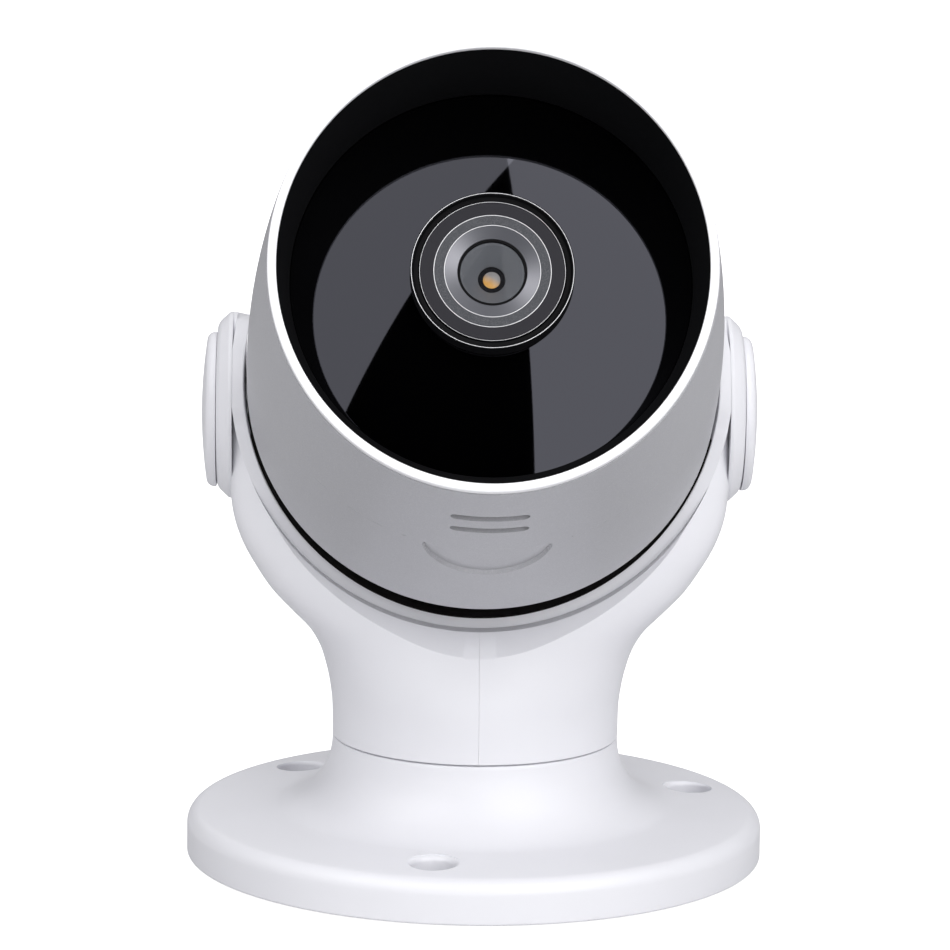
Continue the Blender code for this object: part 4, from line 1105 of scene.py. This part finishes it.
FLIP = np.array([1.0, 1.0, -1.0])
for index, (x, y) in enumerate(screw_places):
    middle = np.array([x, y, 0.0])
    screw = cross_head(f"cover_screw_{index + 1}", lambda p: in_head(np.asarray(p) * FLIP + middle),
                       radius=2.3, top=-9.9, bottom=-10.9, shank=1.15, tail=-17.4)
    dress(screw, STEEL, "head", "steel", f"case_screw_{index + 1}")

# %% [markdown]
# ## Floor, light and camera
# The floor is a very pale sheet, large enough to fill the view. The light comes from two big soft
# boxes, one each side. Each is hung by its inner edge, and the edges lean together at the top and
# leave a dark wedge between them where the viewer stands. A low strip in front lifts the shadows
# under the head, and a dim even sky fills the rest.

# %% Floor
FLOOR_REACH, FLOOR_LEVEL = 12.0, -0.0004
floor_mesh = bpy.data.meshes.new("floor")
corners = [(x * FLOOR_REACH, y * FLOOR_REACH, FLOOR_LEVEL)
           for x, y in ((-1, -1), (1, -1), (1, 1), (-1, 1))]
floor_mesh.from_pydata(corners, [], [(0, 1, 2, 3)])
floor = bpy.data.objects.new("floor", floor_mesh)
bpy.context.scene.collection.objects.link(floor)
floor_material = finish("pale_floor", (0.50, 0.50, 0.505), (0.52, 0.52, 0.525), (0.8, 0.9), bump=0.0,
                        Emission_Color=(1.0, 1.0, 1.0, 1.0), Specular_IOR_Level=0.0)
floor_nodes = floor_material.node_tree
seen = floor_nodes.nodes.new("ShaderNodeLightPath")
floor_nodes.links.new(seen.outputs["Is Camera Ray"],
                      floor_nodes.nodes["Principled BSDF"].inputs["Emission Strength"])
floor_mesh.materials.append(floor_material)


# %% Lights
def direction(azimuth, elevation):
    """Unit vector from the object: azimuth from straight ahead (-Y) towards +X, elevation up."""
    a, e = math.radians(azimuth), math.radians(elevation)
    return Vector((math.sin(a) * math.cos(e), -math.cos(a) * math.cos(e), math.sin(e)))


WINDOW_PLACE = Vector((0.0, -0.06, 0.095))


def softbox(name, azimuth, elevation, distance, width, height, radiance, lean=0.0, inner=0):
    """A rectangle square to its sight line, width along a = (cos az, sin az, 0) and height along
    u = d x a, both turned by the lean. Inner +1 or -1 hangs it by its left or right edge."""
    data = bpy.data.lights.new(name, "AREA")
    data.shape = "RECTANGLE"
    data.size, data.size_y = width, height
    data.energy = radiance * width * height * math.pi
    item = bpy.data.objects.new(name, data)
    sight = direction(azimuth, elevation)
    across = Vector((math.cos(math.radians(azimuth)), math.sin(math.radians(azimuth)), 0.0))
    along = sight.cross(across)
    if along.z < 0:
        along = -along
    turn_by = math.radians(lean)
    tall = along * math.cos(turn_by) + across * math.sin(turn_by)
    wide = across * math.cos(turn_by) - along * math.sin(turn_by)
    place = WINDOW_PLACE + sight * distance + wide * (inner * width / 2)
    if wide.cross(tall).dot(sight) < 0:
        wide = -wide
    item.matrix_world = Matrix.Translation(place) @ Matrix((wide, tall, sight)).transposed().to_4x4()
    item.visible_camera = False
    bpy.context.scene.collection.objects.link(item)
    return item


BOXES = (
    # name, azimuth, elevation, distance, width, height, radiance, lean, inner edge
    ("left_box", -13.5, 46.1, 1.5, 1.45, 1.65, 2.0, 24.1, -1),
    ("right_box", 9.6, 40.0, 1.5, 1.45, 1.80, 2.5, 0.6, 1),
    ("low_strip", 4.0, 2.4, 1.5, 2.8, 0.15, 4.8, 0.0, 0),
    ("top_box", 180.0, 70.0, 1.6, 1.4, 1.0, 1.0, 0.0, 0),
    ("back_box", 180.0, 25.0, 2.2, 2.0, 1.2, 0.5, 0.0, 0),
)
for box in BOXES:
    softbox(*box)
print("lights:", [box[0] for box in BOXES])

# %% [markdown]
# The sky is an even grey for soft light, black for reflections, so that only the boxes show in the
# gloss, and white where the camera sees it directly.

# %% Sky
SKY_LIGHT, SKY_REFLECTED, SKY_SEEN = (0.41, 0.41, 0.425), (0.0, 0.0, 0.0), (1.02, 1.02, 1.02)
world = bpy.data.worlds.new("studio")
bpy.context.scene.world = world
world.use_nodes = True
tree = world.node_tree
rays = tree.nodes.new("ShaderNodeLightPath")
colour = None
for kind, value in (("Is Glossy Ray", SKY_REFLECTED), ("Is Camera Ray", SKY_SEEN)):
    pick = tree.nodes.new("ShaderNodeMix")
    pick.data_type = "RGBA"
    pick.inputs["A"].default_value = (*SKY_LIGHT, 1.0)
    pick.inputs["B"].default_value = (*value, 1.0)
    tree.links.new(rays.outputs[kind], pick.inputs["Factor"])
    if colour:
        tree.links.new(colour, pick.inputs["A"])
    colour = pick.outputs["Result"]
tree.links.new(colour, tree.nodes["Background"].inputs["Color"])
tree.nodes["Background"].inputs["Strength"].default_value = 1.0
bpy.context.scene.view_settings.view_transform = "Standard"
print("sky:", world.name)

# %% Camera
ELEVATION, AZIMUTH, ROLL, DISTANCE = 10.70, -1.5, 0.76, 0.800
AIM_HEIGHT, AIM_ASIDE, SENSOR, FOCAL_LENGTH = 0.05985, -0.00052, 36.0, 195.27158
toward = -direction(AZIMUTH, ELEVATION)
right = toward.cross(Vector((0, 0, 1))).normalized()
over = right.cross(toward)
lean = math.radians(ROLL)
right_rolled = right * math.cos(lean) + over * math.sin(lean)
over_rolled = over * math.cos(lean) - right * math.sin(lean)
aim = right * AIM_ASIDE + Vector((0.0, 0.0, AIM_HEIGHT))
camera_data = bpy.data.cameras.new("studio_camera")
camera_data.sensor_width = SENSOR
camera_data.lens = FOCAL_LENGTH
camera_data.clip_start = 0.05
camera = bpy.data.objects.new("studio_camera", camera_data)
turned = Matrix((right_rolled, over_rolled, -toward)).transposed()
camera.matrix_world = Matrix.Translation(aim - toward * DISTANCE) @ turned.to_4x4()
bpy.context.scene.collection.objects.link(camera)
bpy.context.scene.camera = camera
print("camera at", [round(v, 4) for v in camera.location])
